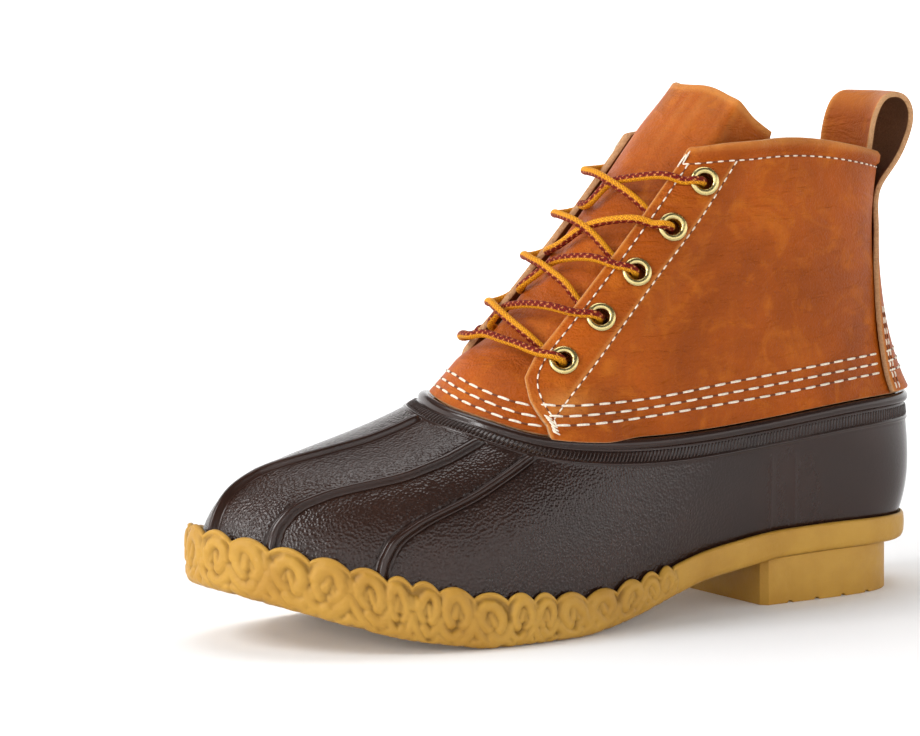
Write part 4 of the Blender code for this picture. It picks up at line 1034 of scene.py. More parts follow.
def sole_places():
    """Places round the foot of the sole's columns in pairs across the foot: dense in the forefoot."""
    heel_side = np.linspace(0.0, CHAIN_FROM, SIDE_COLUMNS)[:-1]
    front = np.linspace(CHAIN_FROM, CHAIN_TIP, FRONT_COLUMNS)
    back = np.linspace(CHAIN_TIP, CHAIN_TO, FRONT_COLUMNS)[1:]
    heel_back = np.linspace(CHAIN_TO, STATIONS, SIDE_COLUMNS)[1:-1]
    return np.concatenate([heel_side, front, back, heel_back])


def hills():
    """Scallop tops round the whole forefoot, as places, mirrored on the inner side."""
    return np.array([*SCALLOPS, CHAIN_TIP, *(2 * 9.0 - p + 0.12 for p in reversed(SCALLOPS))])


# Cords of one link of the chain: points in shares of its width and height, half width in mm, and the
# height of the cord's crown at its two ends.
LINK = (
    (((-0.31, 0.62), (-0.24, 0.77), (-0.10, 0.85), (0.08, 0.86), (0.23, 0.78), (0.31, 0.64)), 2.9, 1.0, 0.92),
    (((-0.33, 0.64), (-0.30, 0.50), (-0.19, 0.39)), 2.7, 0.94, 1.0),
    (((0.32, 0.66), (0.31, 0.52), (0.21, 0.42), (0.12, 0.38)), 2.6, 1.0, 0.86),
    (((-0.07, 0.50), (0.00, 0.66)), 2.0, 0.92, 0.80), (((0.12, 0.50), (0.10, 0.60)), 1.6, 0.78, 0.66),
    (((-0.54, 0.40), (-0.42, 0.26), (-0.26, 0.17), (-0.08, 0.16), (0.06, 0.24)), 2.8, 0.84, 1.0),
    (((0.54, 0.44), (0.44, 0.30), (0.30, 0.18), (0.14, 0.07), (0.0, 0.02)), 2.7, 1.0, 0.88),
    (((-0.52, 0.10), (-0.36, 0.03), (-0.18, -0.02)), 2.4, 0.9, 0.8),
    (((0.30, 0.05), (0.46, 0.04), (0.60, 0.12)), 2.3, 0.82, 0.92),
    (((0.50, 0.58), (0.50, 0.74)), 2.1, 0.86, 0.70),
)


def from_cord(x, y, cord):
    """Distance of points from a cord's middle line, and how far along it they lie."""
    best, where = np.full(x.shape, np.inf), np.zeros(x.shape)
    for step, ((ax, ay), (bx, by)) in enumerate(zip(cord[:-1], cord[1:])):
        dx, dy = bx - ax, by - ay
        share = np.clip(((x - ax) * dx + (y - ay) * dy) / (dx * dx + dy * dy), 0, 1)
        away = np.hypot(x - ax - share * dx, y - ay - share * dy)
        where = np.where(away < best, (step + share) / (len(cord) - 1), where)
        best = np.minimum(best, away)
    return best, where


def chain(s, height, centres, widths, tall):
    """Height of the moulded chain, 0 to 1, at lengths s along the edge and heights over the ground."""
    best = np.full_like(s, 0.34)
    for number, (centre, width) in enumerate(zip(centres, widths)):
        near = np.abs(s - centre) < width * 0.9
        if not near.any():
            continue
        h = float(np.median(tall[near]))
        way = 1 if number % 2 else -1
        sway, lift = 0.05 * math.sin(2.7 * number), 0.03 * math.sin(4.1 * number + 1)
        lean = 0.30 * math.sin(1.9 * number + 0.6)
        x, y = s[near] - centre, height[near]
        made = best[near]
        for index, (points, half, start, end) in enumerate(LINK):
            nudge = 0.02 * math.sin(3.3 * number + 2.0 * index)
            cord = [((way * a + sway + nudge + lean * (b - 0.5)) * width, (b + lift + nudge) * h)
                    for a, b in points]
            half = half * MM * np.clip(width / (14 * MM), 0.75, 1.2) * (1 + 4 * nudge)
            away, where = from_cord(x, y, cord)
            crown = start + (end - start) * where
            made = np.maximum(made, crown * np.sqrt(np.clip(1 - (away / half) ** 2, 0, 1)))
        best[near] = made
    return best


def under_chain(x, y):
    """The same chain on the underside, as rows of rings set like bricks."""
    pitch, rows = 15.0 * MM, 12.5 * MM
    best = np.zeros_like(x)
    row = np.round(x / rows)
    for dr in (-1, 0, 1):
        r = row + dr
        shift = np.where(r % 2 == 0, 0.0, 0.5) * pitch
        col = np.round((y - shift) / pitch)
        for dc in (-1, 0, 1):
            cx, cy = x - r * rows, y - shift - (col + dc) * pitch
            turn = 0.35 * np.where((r + col + dc) % 2 == 0, 1, -1)
            px, py = cx * np.cos(turn) + cy * np.sin(turn), cy * np.cos(turn) - cx * np.sin(turn)
            k = np.sqrt((px / (4.6 * MM)) ** 2 + (py / (5.6 * MM)) ** 2) + 1e-6
            away = np.abs(k - 1) * np.hypot(px, py) / k
            crown = 0.82 + 0.18 * np.cos(2 * np.arctan2(py, px) + r * 1.7)
            best = np.maximum(best, np.sqrt(np.clip(1 - (away / (2.6 * MM)) ** 2, 0, 1)) * crown)
            best = np.maximum(best, 0.5 * np.sqrt(np.clip(1 - (np.hypot(px, py) / (1.5 * MM)) ** 2, 0, 1)))
    return best


# The sole's rounded lower corner: mm in from the edge, mm over the ground, and share of the relief's depth.
SOLE_CORNER = ((3.2, 0.0, 0.3), (1.7, 0.18, 0.6), (0.8, 0.75, 0.9), (0.25, 1.7, 1.0))
SIDE_RINGS = 34
UNDERSIDE_STEPS, ROOF_STEPS = 62, 5


class ChainSole(bpy.types.Operator):
    """Outsole: smooth waist and heel band, and a moulded chain with a scalloped lip round the forefoot"""
    bl_idname = "boot.chain_sole"
    bl_label = "Chain sole"

    def execute(self, context):
        u = sole_places()
        count = len(u)
        edge, out = outline(u), plan_normal(u)
        x = edge[:, 0]
        floor = underside(x)
        run = run_along(edge)
        tops = np.interp(hills(), u, run)
        valleys = (tops[:-1] + tops[1:]) / 2
        front = smooth_step((u - 3.78) / 0.12) * smooth_step((14.16 - u) / 0.12)
        low = np.clip(np.searchsorted(valleys, run) - 1, 0, len(valleys) - 2)
        phase = (run - valleys[low]) / (valleys[low + 1] - valleys[low])
        inside = (run > valleys[0]) & (run < valleys[-1])
        hill = np.where(inside, np.sin(np.pi * np.clip(phase, 0, 1)) ** 0.75, 0.5)
        depth = sizes().scallop_depth
        top = band_height(x) + depth * (hill - 0.62) * front
        centres = (valleys[:-1] + valleys[1:]) / 2
        widths = np.diff(valleys)
        # groove: how deep each point lies in the chain's creases; the sole material paints shade there.
        rings, groove = [], []

        def relief(level):
            height = chain(run, level, centres, widths, top)
            push = (height - 0.70) * sizes().tread_depth * front
            return height, push

        for inset, lift, share in SOLE_CORNER:
            level = np.full(count, lift * MM)
            height, push = relief(level)
            line = edge - out * (inset * MM - push * share)[:, None]
            lifted = level + (1 - height) * front * 0.0009 * (share < 0.95)
            rings.append(flat(line, underside(line[:, 0]) + lifted))
            groove.append((1 - height) * front)
        for share in np.linspace(0.0, 1.0, SIDE_RINGS):
            level = 2.6 * MM + share * (top - 1.1 * MM - 2.6 * MM)
            height, push = relief(level)
            push = push * smooth_step((1.06 - share) / 0.14) + 0.0002 * math.sin(math.pi * share)
            line = edge + out * push[:, None]
            rings.append(flat(line, floor + level))
            groove.append((1 - height) * front * smooth_step((1.04 - share) / 0.16))
        lip = rubber_reach(u, floor + top, edge, out)
        lip_out = np.maximum(lip + BAND_LIP / 2, BAND_LIP - BAND_WALL)
        rings.append(flat(edge - out * 0.0003, floor + top - 0.45 * MM))
        rings.append(flat(edge - out * 0.0009, floor + top - 0.1 * MM))
        rings.append(flat(edge + out * (lip_out * 0.6 - 0.0006)[:, None], floor + top))
        rings.append(flat(edge + out * lip_out[:, None], floor + top - 0.0002))
        for share in (0.9, 0.66, 0.33, 0.0):
            level = floor + SOLE_THICKNESS + share * (top - SOLE_THICKNESS)
            rings.append(flat(edge + out * rubber_reach(u, level, edge, out)[:, None], level))
        inner = len(rings)
        groove += [np.zeros(count)] * (inner - len(groove))
        faces = list(grid_faces(inner, count, wrap=True))
        points, marks = list(rings), list(groove)
        bottom, roof = self.cap(rings[0], count, True), self.cap(rings[-1], count, False)
        start = inner * count
        for ring_first, (rows, mark) in ((0, bottom), ((inner - 1) * count, roof)):
            steps = rows.shape[1]
            points += [rows.reshape(-1, 3)]
            marks += [mark.ravel()]
            faces += self.cap_faces(ring_first, count, start, steps)
            start += rows.shape[0] * steps
        made = build("chain_sole", np.concatenate(points), faces, look("sole", sole_look, colours()),
                     {"groove": np.concatenate(marks)})
        dress(made, "sole_rubber", "outsole")
        return {"FINISHED"}

    def cap(self, ring, count, below):
        """Inner points of the rungs from one side to the other, with the chain on the underside."""
        half = count // 2
        steps = UNDERSIDE_STEPS if below else ROOF_STEPS
        share = np.linspace(0.0, 1.0, steps + 2)[1:-1]
        left, right = ring[1:half], ring[count - np.arange(1, half)]
        rows = left[:, None] * (1 - share)[None, :, None] + right[:, None] * share[None, :, None]
        x, y = rows[..., 0], rows[..., 1]
        if not below:
            rows[..., 2] = underside(x) + SOLE_THICKNESS
            return rows, np.zeros(x.shape)
        height = under_chain(x, y)
        edge_fade = smooth_step(np.minimum(share, 1 - share) / 0.035)[None, :]
        front = smooth_step((x - 0.074) / 0.012) * edge_fade
        blend = 1 - edge_fade
        side = left[:, None, 2] * (1 - share) + right[:, None, 2] * share
        base = underside(x) * (1 - blend) + side * blend
        rows[..., 2] = base + (1 - height) * front * 0.0014
        # The second value is the groove mark, which the sole material turns into painted shade.
        return rows, (1 - height) * front

    def cap_faces(self, first, count, start, steps):
        half = count // 2
        faces = []
        for i in range(1, half - 1):
            a, b = start + (i - 1) * steps, start + i * steps
            faces.append((first + i, first + i + 1, b, a))
            for k in range(steps - 1):
                faces.append((a + k, b + k, b + k + 1, a + k + 1))
            faces.append((a + steps - 1, b + steps - 1, first + count - i - 1, first + count - i))
        top, last = start, start + (half - 2) * steps
        faces.append((first, first + 1, *range(top, top + steps), first + count - 1))
        across = range(last + steps - 1, last - 1, -1)
        faces.append((first + half, first + half + 1, *across, first + half - 1))
        return faces


def rubber_reach(u, height, edge, out):
    """How far out from the sole's edge a point just clear of the rubber's face lies at a height."""
    v = v_at_height(rubber_base, u, height)
    face = rubber_base(u, v)
    return np.maximum(((face[:, :2] - edge) * out).sum(1) + 1.3 * GAP, -BAND_WALL)


BREAST_BEVEL = 2.4 * MM
NOTCHES, NOTCH_PITCH, NOTCH_RADIUS = 4, 12.5 * MM, 1.3 * MM


class HeelBlock(bpy.types.Operator):
    """Heel block with a bevelled breast and small notches along its wearing edge"""
    bl_idname = "boot.heel_block"
    bl_label = "Heel block"

    def execute(self, context):
        deselect()
        fine = np.linspace(0.0, STATIONS, 2400)
        line = outline(fine, HEEL_INSET)
        behind = np.minimum(line[:, 0], 0.0) / line[:, 0].min()
        line[:, 0] += HEEL_BACK_INSET * behind
        inside = line[line[:, 0] < BREAST - 2.2 * MM]
        order = np.argsort(np.unwrap(np.arctan2(inside[:, 1], inside[:, 0] - BREAST)) % (2 * math.pi))
        inside = inside[order][::12]
        left, right = inside[0], inside[-1]
        corners = [(BREAST, right[1] + BREAST_BEVEL), (BREAST, left[1] - BREAST_BEVEL)]
        ring = [tuple(p) for p in inside] + corners
        bpy.ops.mesh.primitive_circle_add(
            vertices=len(ring), radius=0.03, fill_type="NGON", location=(0, 0, 0))
        made = bpy.context.object
        made.name = "heel_block"
        for vertex, place in zip(made.data.vertices, ring):
            vertex.co = (*place, 0.0)
        bpy.ops.object.mode_set(mode="EDIT")
        bpy.ops.mesh.select_all(action="SELECT")
        bpy.ops.mesh.extrude_region_move(TRANSFORM_OT_translate={"value": (0, 0, 0.014)})
        bpy.ops.object.mode_set(mode="OBJECT")
        mesh = made.data
        for vertex in mesh.vertices:
            if vertex.co.z > 0.007:
                vertex.co.z = float(underside(vertex.co.x)) - GAP
        bars = []
        for number in range(1, NOTCHES + 1):
            bpy.ops.mesh.primitive_cylinder_add(
                vertices=16, radius=NOTCH_RADIUS, depth=0.12, rotation=(math.pi / 2, 0, 0),
                location=(BREAST - number * NOTCH_PITCH, 0, -0.3 * MM))
            bars.append(bpy.context.object)
        for bar in bars:
            cut = made.modifiers.new("notch", "BOOLEAN")
            cut.operation, cut.object, cut.solver = "DIFFERENCE", bar, "EXACT"
        deselect()
        made.select_set(True)
        bpy.context.view_layer.objects.active = made
        for cut in [m.name for m in made.modifiers]:
            bpy.ops.object.modifier_apply(modifier=cut)
        round_edges = made.modifiers.new("rounded", "BEVEL")
        round_edges.width, round_edges.segments, round_edges.limit_method = 0.6 * MM, 3, "ANGLE"
        round_edges.angle_limit = math.radians(40)
        bpy.ops.object.modifier_apply(modifier=round_edges.name)
        for bar in bars:
            bpy.data.objects.remove(bar)
        bpy.ops.object.shade_smooth_by_angle(angle=math.radians(35))
        made.data.materials.clear()
        made.data.materials.append(look("sole", sole_look, colours()))
        dress(made, "sole_rubber", "heel")
        return {"FINISHED"}


# ---- Leather ----
def quarter_rise(u, v):
    """How far the quarters' outer face stands over their base: lap, eyelet facing and rolled top."""
    u, v = np.broadcast_arrays(np.asarray(u, float) % STATIONS, np.asarray(v, float))
    below = (1 - v) * np.linalg.norm(collar_point(u) - rim_point(u), axis=-1)
    roll = 0.95 * MM * smooth_step(below / (0.9 * MM)) * (1 - smooth_step((below - 3.3 * MM) / (1.0 * MM)))
    roll = roll - 0.22 * MM * np.exp(-((below - 4.7 * MM) / (0.5 * MM)) ** 2)
    lap = np.where(u > THROAT_CENTRE, mirrored(u), u)
    facing = FACING_RISE * smooth_step((lap - facing_place(v)) / 0.05) * smooth_step((v - 0.03) / 0.05)
    puff = 0.30 * MM * wander(u, v) * smooth_step(below / (9 * MM)) * smooth_step((v - 0.2) / 0.15)
    return roll + facing * (below > 4.2 * MM) + puff


def quarter_point(u, v, out):
    """A point out from the quarters' outer face."""
    lap = overlap(u, v) * (LEATHER_WALL + GAP)
    return pushed(shaft_base, u, v, lap + quarter_rise(u, v) + out)


def eyelet_places():
    """Name, centre on the quarter's outer face and outward normal of each eyelet."""
    places = {}
    for side in ("lateral", "medial"):
        for number, (u, v) in enumerate(EYELETS, 1):
            here = np.array([u if side == "lateral" else mirrored(u)])
            base = pushed(shaft_base, here, np.array([v]), overlap(here, v) * (LEATHER_WALL + GAP))[0]
            normal = normals_of(shaft_base, here, np.array([v]))[0]
            places[f"{side}_{number}"] = (base, normal)
    return places


# The last rows of the quarters' mesh, in mm under the collar.
TOPLINE_ROWS = (5.6, 5.1, 4.7, 4.3, 3.9, 3.5, 3.0, 2.2, 1.4, 0.8, 0.35, 0.0)
QUARTER_COLUMNS = 330
PUNCH_RADIUS = 3.6 * MM
FACING_RISE = 0.38 * MM


class Quarters(bpy.types.Operator):
    """Leather quarters in one wall, with a rolled top, a lapped eyelet facing and punched holes"""
    bl_idname = "boot.quarters"
    bl_label = "Quarters"

    def execute(self, context):
        vs = np.concatenate([
            [0.0, 0.012, 0.03], np.linspace(0.05, 0.93, 66), 1 - np.array(TOPLINE_ROWS) * MM / SHAFT_LENGTH])
        wide = QUARTER_COLUMNS
        share = np.linspace(0.0, 1.0, wide)
        share = share - 0.035 * np.sin(4 * math.pi * share)
        edge = throat_edge(vs)[:, None]
        u = edge + (mirrored(edge) - STATIONS - edge) * share[None, :]
        v = np.repeat(vs[:, None], wide, 1)
        foot = (LEATHER_FOOT - LAPS_BEAD * overlap(u[0], v[0])) / SHAFT_LENGTH
        v = foot[None, :] + v * (1 - foot[None, :])
        outer = quarter_point(u, v, 0.0 * v)
        inner = pushed(shaft_base, u, v, overlap(u, v) * (LEATHER_WALL + GAP) - LEATHER_WALL)
        below = (1 - v) * SHAFT_LENGTH
        worn = 0.55 * smooth_step((2.6 * MM - below) / (2.4 * MM)) * (0.8 + 0.2 * wander(3 * u, v, 2.0))
        at_edge = np.minimum(share, 1 - share)[None, :] * wide
        worn = np.maximum(worn, 0.55 * smooth_step((1.6 - at_edge) / 1.4))
        lap = np.where(u % STATIONS > THROAT_CENTRE, mirrored(u % STATIONS), u % STATIONS)
        ridge = 0.45 * np.exp(-((lap - facing_place(v) - 0.04) / 0.05) ** 2)
        worn = np.maximum(worn, ridge * (below > 5 * MM) * (v > 0.06))
        pull = 0.5 * np.exp(-(((u % STATIONS) - 5.95) / 0.35) ** 2 - ((v - 0.13) / 0.05) ** 2)
        worn = np.maximum(worn, pull)
        holes = [(centre, normal, PUNCH_RADIUS) for centre, normal in eyelet_places().values()]
        made = wall("quarters", outer, inner, look("leather", leather_look, colours()), {"worn": worn}, holes)
        dress(made, "leather", "upper")
        return {"FINISHED"}


def tongue_out(v, across):
    """How far the tongue's outer face lies from the leather's base surface."""
    dive = smooth_step((v - TONGUE_DIVE[0]) / TONGUE_DIVE[1])
    wings = smooth_step((np.abs(across) - 0.5) / 0.5) * smooth_step((v - 0.45) / 0.5)
    return -TONGUE_DEPTH * dive - WING_DEPTH * wings


class Tongue(bpy.types.Operator):
    """Tongue and the vamp piece at its foot, cut from one thickness of leather"""
    bl_idname = "boot.tongue"
    bl_label = "Tongue"

    def execute(self, context):
        rows = np.concatenate([[LEATHER_FOOT / SHAFT_LENGTH], np.linspace(0.025, TONGUE_TOP, 100)])
        across = np.linspace(-1.0, 1.0, 111)
        fall = 1.0 - TONGUE_FALL / TONGUE_TOP * np.abs(across) ** 2
        share = smooth_step((rows - 0.7) / (TONGUE_TOP - 0.7))
        v = rows[:, None] * (1 + (fall[None, :] - 1) * share[:, None])
        wing = np.interp(rows, THROAT_AT["v"], THROAT_AT["wing"])[:, None]
        u = THROAT_CENTRE + (THROAT_CENTRE - wing) * across[None, :]
        out = tongue_out(v, across[None, :] + 0 * v)
        free = smooth_step((v - 0.8) / 0.3)
        out = out + 0.5 * MM * wander(u * 0.7, v, 1.7) * smooth_step((v - 0.25) / 0.2)
        out = out + 0.9 * MM * free * np.sin(4.0 * across[None, :] + 1.0)
        out = out - 1.4 * MM * free * smooth_step((v - 1.05) / 0.2)
        outer = pushed(shaft_base, u, v, out)
        inner = pushed(shaft_base, u, v, out - TONGUE_WALL)
        worn = 0.6 * smooth_step((rows[:, None] - TONGUE_TOP + 0.035) / 0.03) + 0 * u
        worn = np.maximum(worn, 0.25 * smooth_step((v - 0.9) / 0.3) * (0.5 + 0.5 * wander(2 * u, v, 4.0)))
        made = wall("tongue_leather", outer, inner, look("leather", leather_look, colours()), {"worn": worn})
        dress(made, "leather", "tongue")
        return {"FINISHED"}


def strip_half(v):
    vs, halves = np.array(STRIP).T
    return np.interp(v, vs, halves) / 1000


def strip_row(v, out, half, across):
    """Points across the strip where it lies along the leather at v."""
    near = np.linspace(-1.6, 1.6, 129)
    line = pushed(shaft_base, near, v, out + 0 * near)
    run = run_along(line)
    run -= np.interp(0.0, near, run)
    u = np.interp(across * half, run, near)
    return pushed(shaft_base, u, v, out + 0 * u)


def strip_rows(across):
    """The strip's outer face from its foot up the back, over the loop and down inside."""
    rows = []
    for v in (0.010, 0.08, 0.16, 0.26, 0.38, 0.50, 0.62, 0.74, STRIP_LEAVES):
        rows.append(strip_row(v, STRIP_WALL + STRIP_GAP, strip_half(v), across))
    collar = collar_point(np.zeros(1))[0]
    for x, z, half in LOOP:
        bowed = collar[0] + x / 1000 + LOOP_BOW * across**2
        rows.append(np.stack([bowed, across * half / 1000, collar[2] + z / 1000 + 0 * across], -1))
    for v in STRIP_INSIDE:
        rows.append(strip_row(v, -LEATHER_WALL - STRIP_GAP - STRIP_WALL, LOOP[-1][2] / 1000, across))
    return np.array(rows)


class BackStrip(bpy.types.Operator):
    """Strip up the back seam, left long to make the pull loop"""
    bl_idname = "boot.back_strip"
    bl_label = "Back strip and loop"

    def execute(self, context):
        across = np.linspace(-1.0, 1.0, 31)
        rows = strip_rows(across)
        outer = open_spline(rows, 170)
        up, side = np.gradient(outer, axis=0), np.gradient(outer, axis=1)
        normal = np.cross(up, side)
        normal /= np.linalg.norm(normal, axis=-1, keepdims=True)
        inner = outer - normal * STRIP_WALL
        worn = 0.5 * smooth_step((np.abs(across) - 0.9) / 0.1)[None, :]
        worn = worn + 0.28 * smooth_step((outer[..., 2] - 0.176) / 0.012)
        made = wall("back_strip", outer, inner, look("leather", leather_look, colours()), {"worn": worn})
        dress(made, "leather", "backstay_loop")
        return {"FINISHED"}


# ---- Metal ----
# A closed ring: mm from the eyelet's axis, and mm over the leather.
EYELET_SECTION = (
    (2.70, -3.2), (3.05, -3.45), (4.30, -3.15), (4.35, -2.9), (3.35, -2.75), (3.30, 0.15), (5.15, 0.18),
    (5.38, 0.35), (5.36, 0.60), (5.10, 0.98), (4.60, 1.28), (4.00, 1.36), (3.45, 1.20), (3.02, 0.80),
    (2.78, 0.25), (2.70, -0.6),
)


class Eyelets(bpy.types.Operator):
    """Ten rolled brass eyelets: one spun from its section, then copied to every hole"""
    bl_idname = "boot.eyelets"
    bl_label = "Eyelets"

    def execute(self, context):
        deselect()
        mesh = bpy.data.meshes.new("eyelet")
        count = len(EYELET_SECTION)
        points = [(r * MM, 0.0, z * MM) for r, z in EYELET_SECTION]
        mesh.from_pydata(points, [(i, (i + 1) % count) for i in range(count)], [])
        first = placed("eyelet", mesh)
        first.select_set(True)
        bpy.context.view_layer.objects.active = first
        bpy.ops.object.mode_set(mode="EDIT")
        bpy.ops.mesh.select_all(action="SELECT")
        bpy.ops.mesh.spin(steps=40, angle=2 * math.pi, center=(0, 0, 0), axis=(0, 0, 1))
        bpy.ops.mesh.select_all(action="SELECT")
        bpy.ops.mesh.remove_doubles(threshold=0.00001)
        bpy.ops.mesh.normals_make_consistent(inside=False)
        bpy.ops.object.mode_set(mode="OBJECT")
        first.data.polygons.foreach_set("use_smooth", [True] * len(first.data.polygons))
        first.data.materials.append(look("brass", brass_look, colours()))
        for name, (centre, normal) in eyelet_places().items():
            made = placed("brass_eyelet_" + name, first.data.copy())
            turn = Vector(normal).to_track_quat("Z", "Y").to_matrix().to_4x4()
            made.data.transform(Matrix.Translation(Vector(centre + normal * FACING_RISE)) @ turn)
            dress(made, "brass", "eyelet_" + name)
        bpy.data.objects.remove(first)
        return {"FINISHED"}


# ---- Stitching ----
# Height of a stitch's line over the leather, and the thread's share of each pitch.
ON_LEATHER = 0.05 * MM
RIM_SHARE, FINE_SHARE, TOP_SHARE = 0.80, 0.66, 0.62
# How far a needle gap's dark piece, painted shade for the needle hole, reaches under the stitches on both
# sides, as a share of the pitch.
GAP_LAP = 0.12
# Radii of the threads and of the dark pieces in the gaps between them, which paint the shade of the needle
# holes.
RIM_THREAD, RIM_GAP = 0.46 * MM, 0.34 * MM
FINE_THREAD, FINE_GAP = 0.30 * MM, 0.25 * MM
TACK_THREAD = 0.34 * MM
TOP_STITCH = 4.2 * MM
STRIP_INSETS = (2.2, 4.8)
ROWS_END = RIM_ROWS[-1][0]
# Two stitches at the facing's top corner: place and v of both ends.
TOP_CORNER = (((6.14, 0.935), (6.05, 0.975)), ((6.03, 0.945), (5.98, 0.985)))


def threads(name, runs, radius, thread):
    """Stitches as short arched threads with sunken ends; runs lists (start, end, up) of each."""
    sides, rings = 7, 7
    angle = np.linspace(0, 2 * math.pi, sides, endpoint=False)
    t = np.linspace(0, 1, rings)
    arch = np.sin(math.pi * t) ** 0.55
    thin = 0.62 + 0.38 * np.sin(math.pi * t) ** 0.5
    points, faces = [], []
    shape = [tuple(face) for face in grid_faces(rings, sides, wrap=True)]
    shape += [tuple(range(sides)), tuple(range((rings - 1) * sides, rings * sides))]
    for start, end, up in runs:
        way = end - start
        way = way / np.linalg.norm(way)
        side = np.cross(up, way)
        side /= np.linalg.norm(side)
        up = np.cross(way, side)
        base = len(points) * rings * sides
        line = start + (end - start) * t[:, None] + up * ((arch * 1.15 - 0.75) * radius)[:, None]
        ring = np.cos(angle)[None, :, None] * side + np.sin(angle)[None, :, None] * up
        points.append((line[:, None] + ring * (radius * thin)[:, None, None]).reshape(-1, 3))
        faces += [tuple(base + k for k in face) for face in shape]
    dress(build(name, np.concatenate(points), faces, thread), "lace")


def stitch_line(us, vs, surface, pitch, share):
    """Even stitches along a line on a surface: (start, end, normal) of threads and of the gaps between."""
    fine = np.linspace(0, 1, 1400)
    u = np.interp(fine, np.linspace(0, 1, len(us)), us)
    v = np.interp(fine, np.linspace(0, 1, len(vs)), vs)
    points = surface(u, v)
    run = run_along(points)
    count = max(1, int(round(run[-1] / pitch)))
    normals = normals_of(shaft_base, u, v)
    step = run[-1] / count
    made, gaps = [], []
    for i in range(count):
        a, b, c, d = [point_along((i + s) * step, run, points)
                      for s in (0, share, share - GAP_LAP, 1 + GAP_LAP)]
        k = min(len(run) - 1, int(np.searchsorted(run, (i + share / 2) * step)))
        made.append((a, b, normals[k]))
        gaps.append((c, d, normals[k]))
    return made, gaps[:-1]


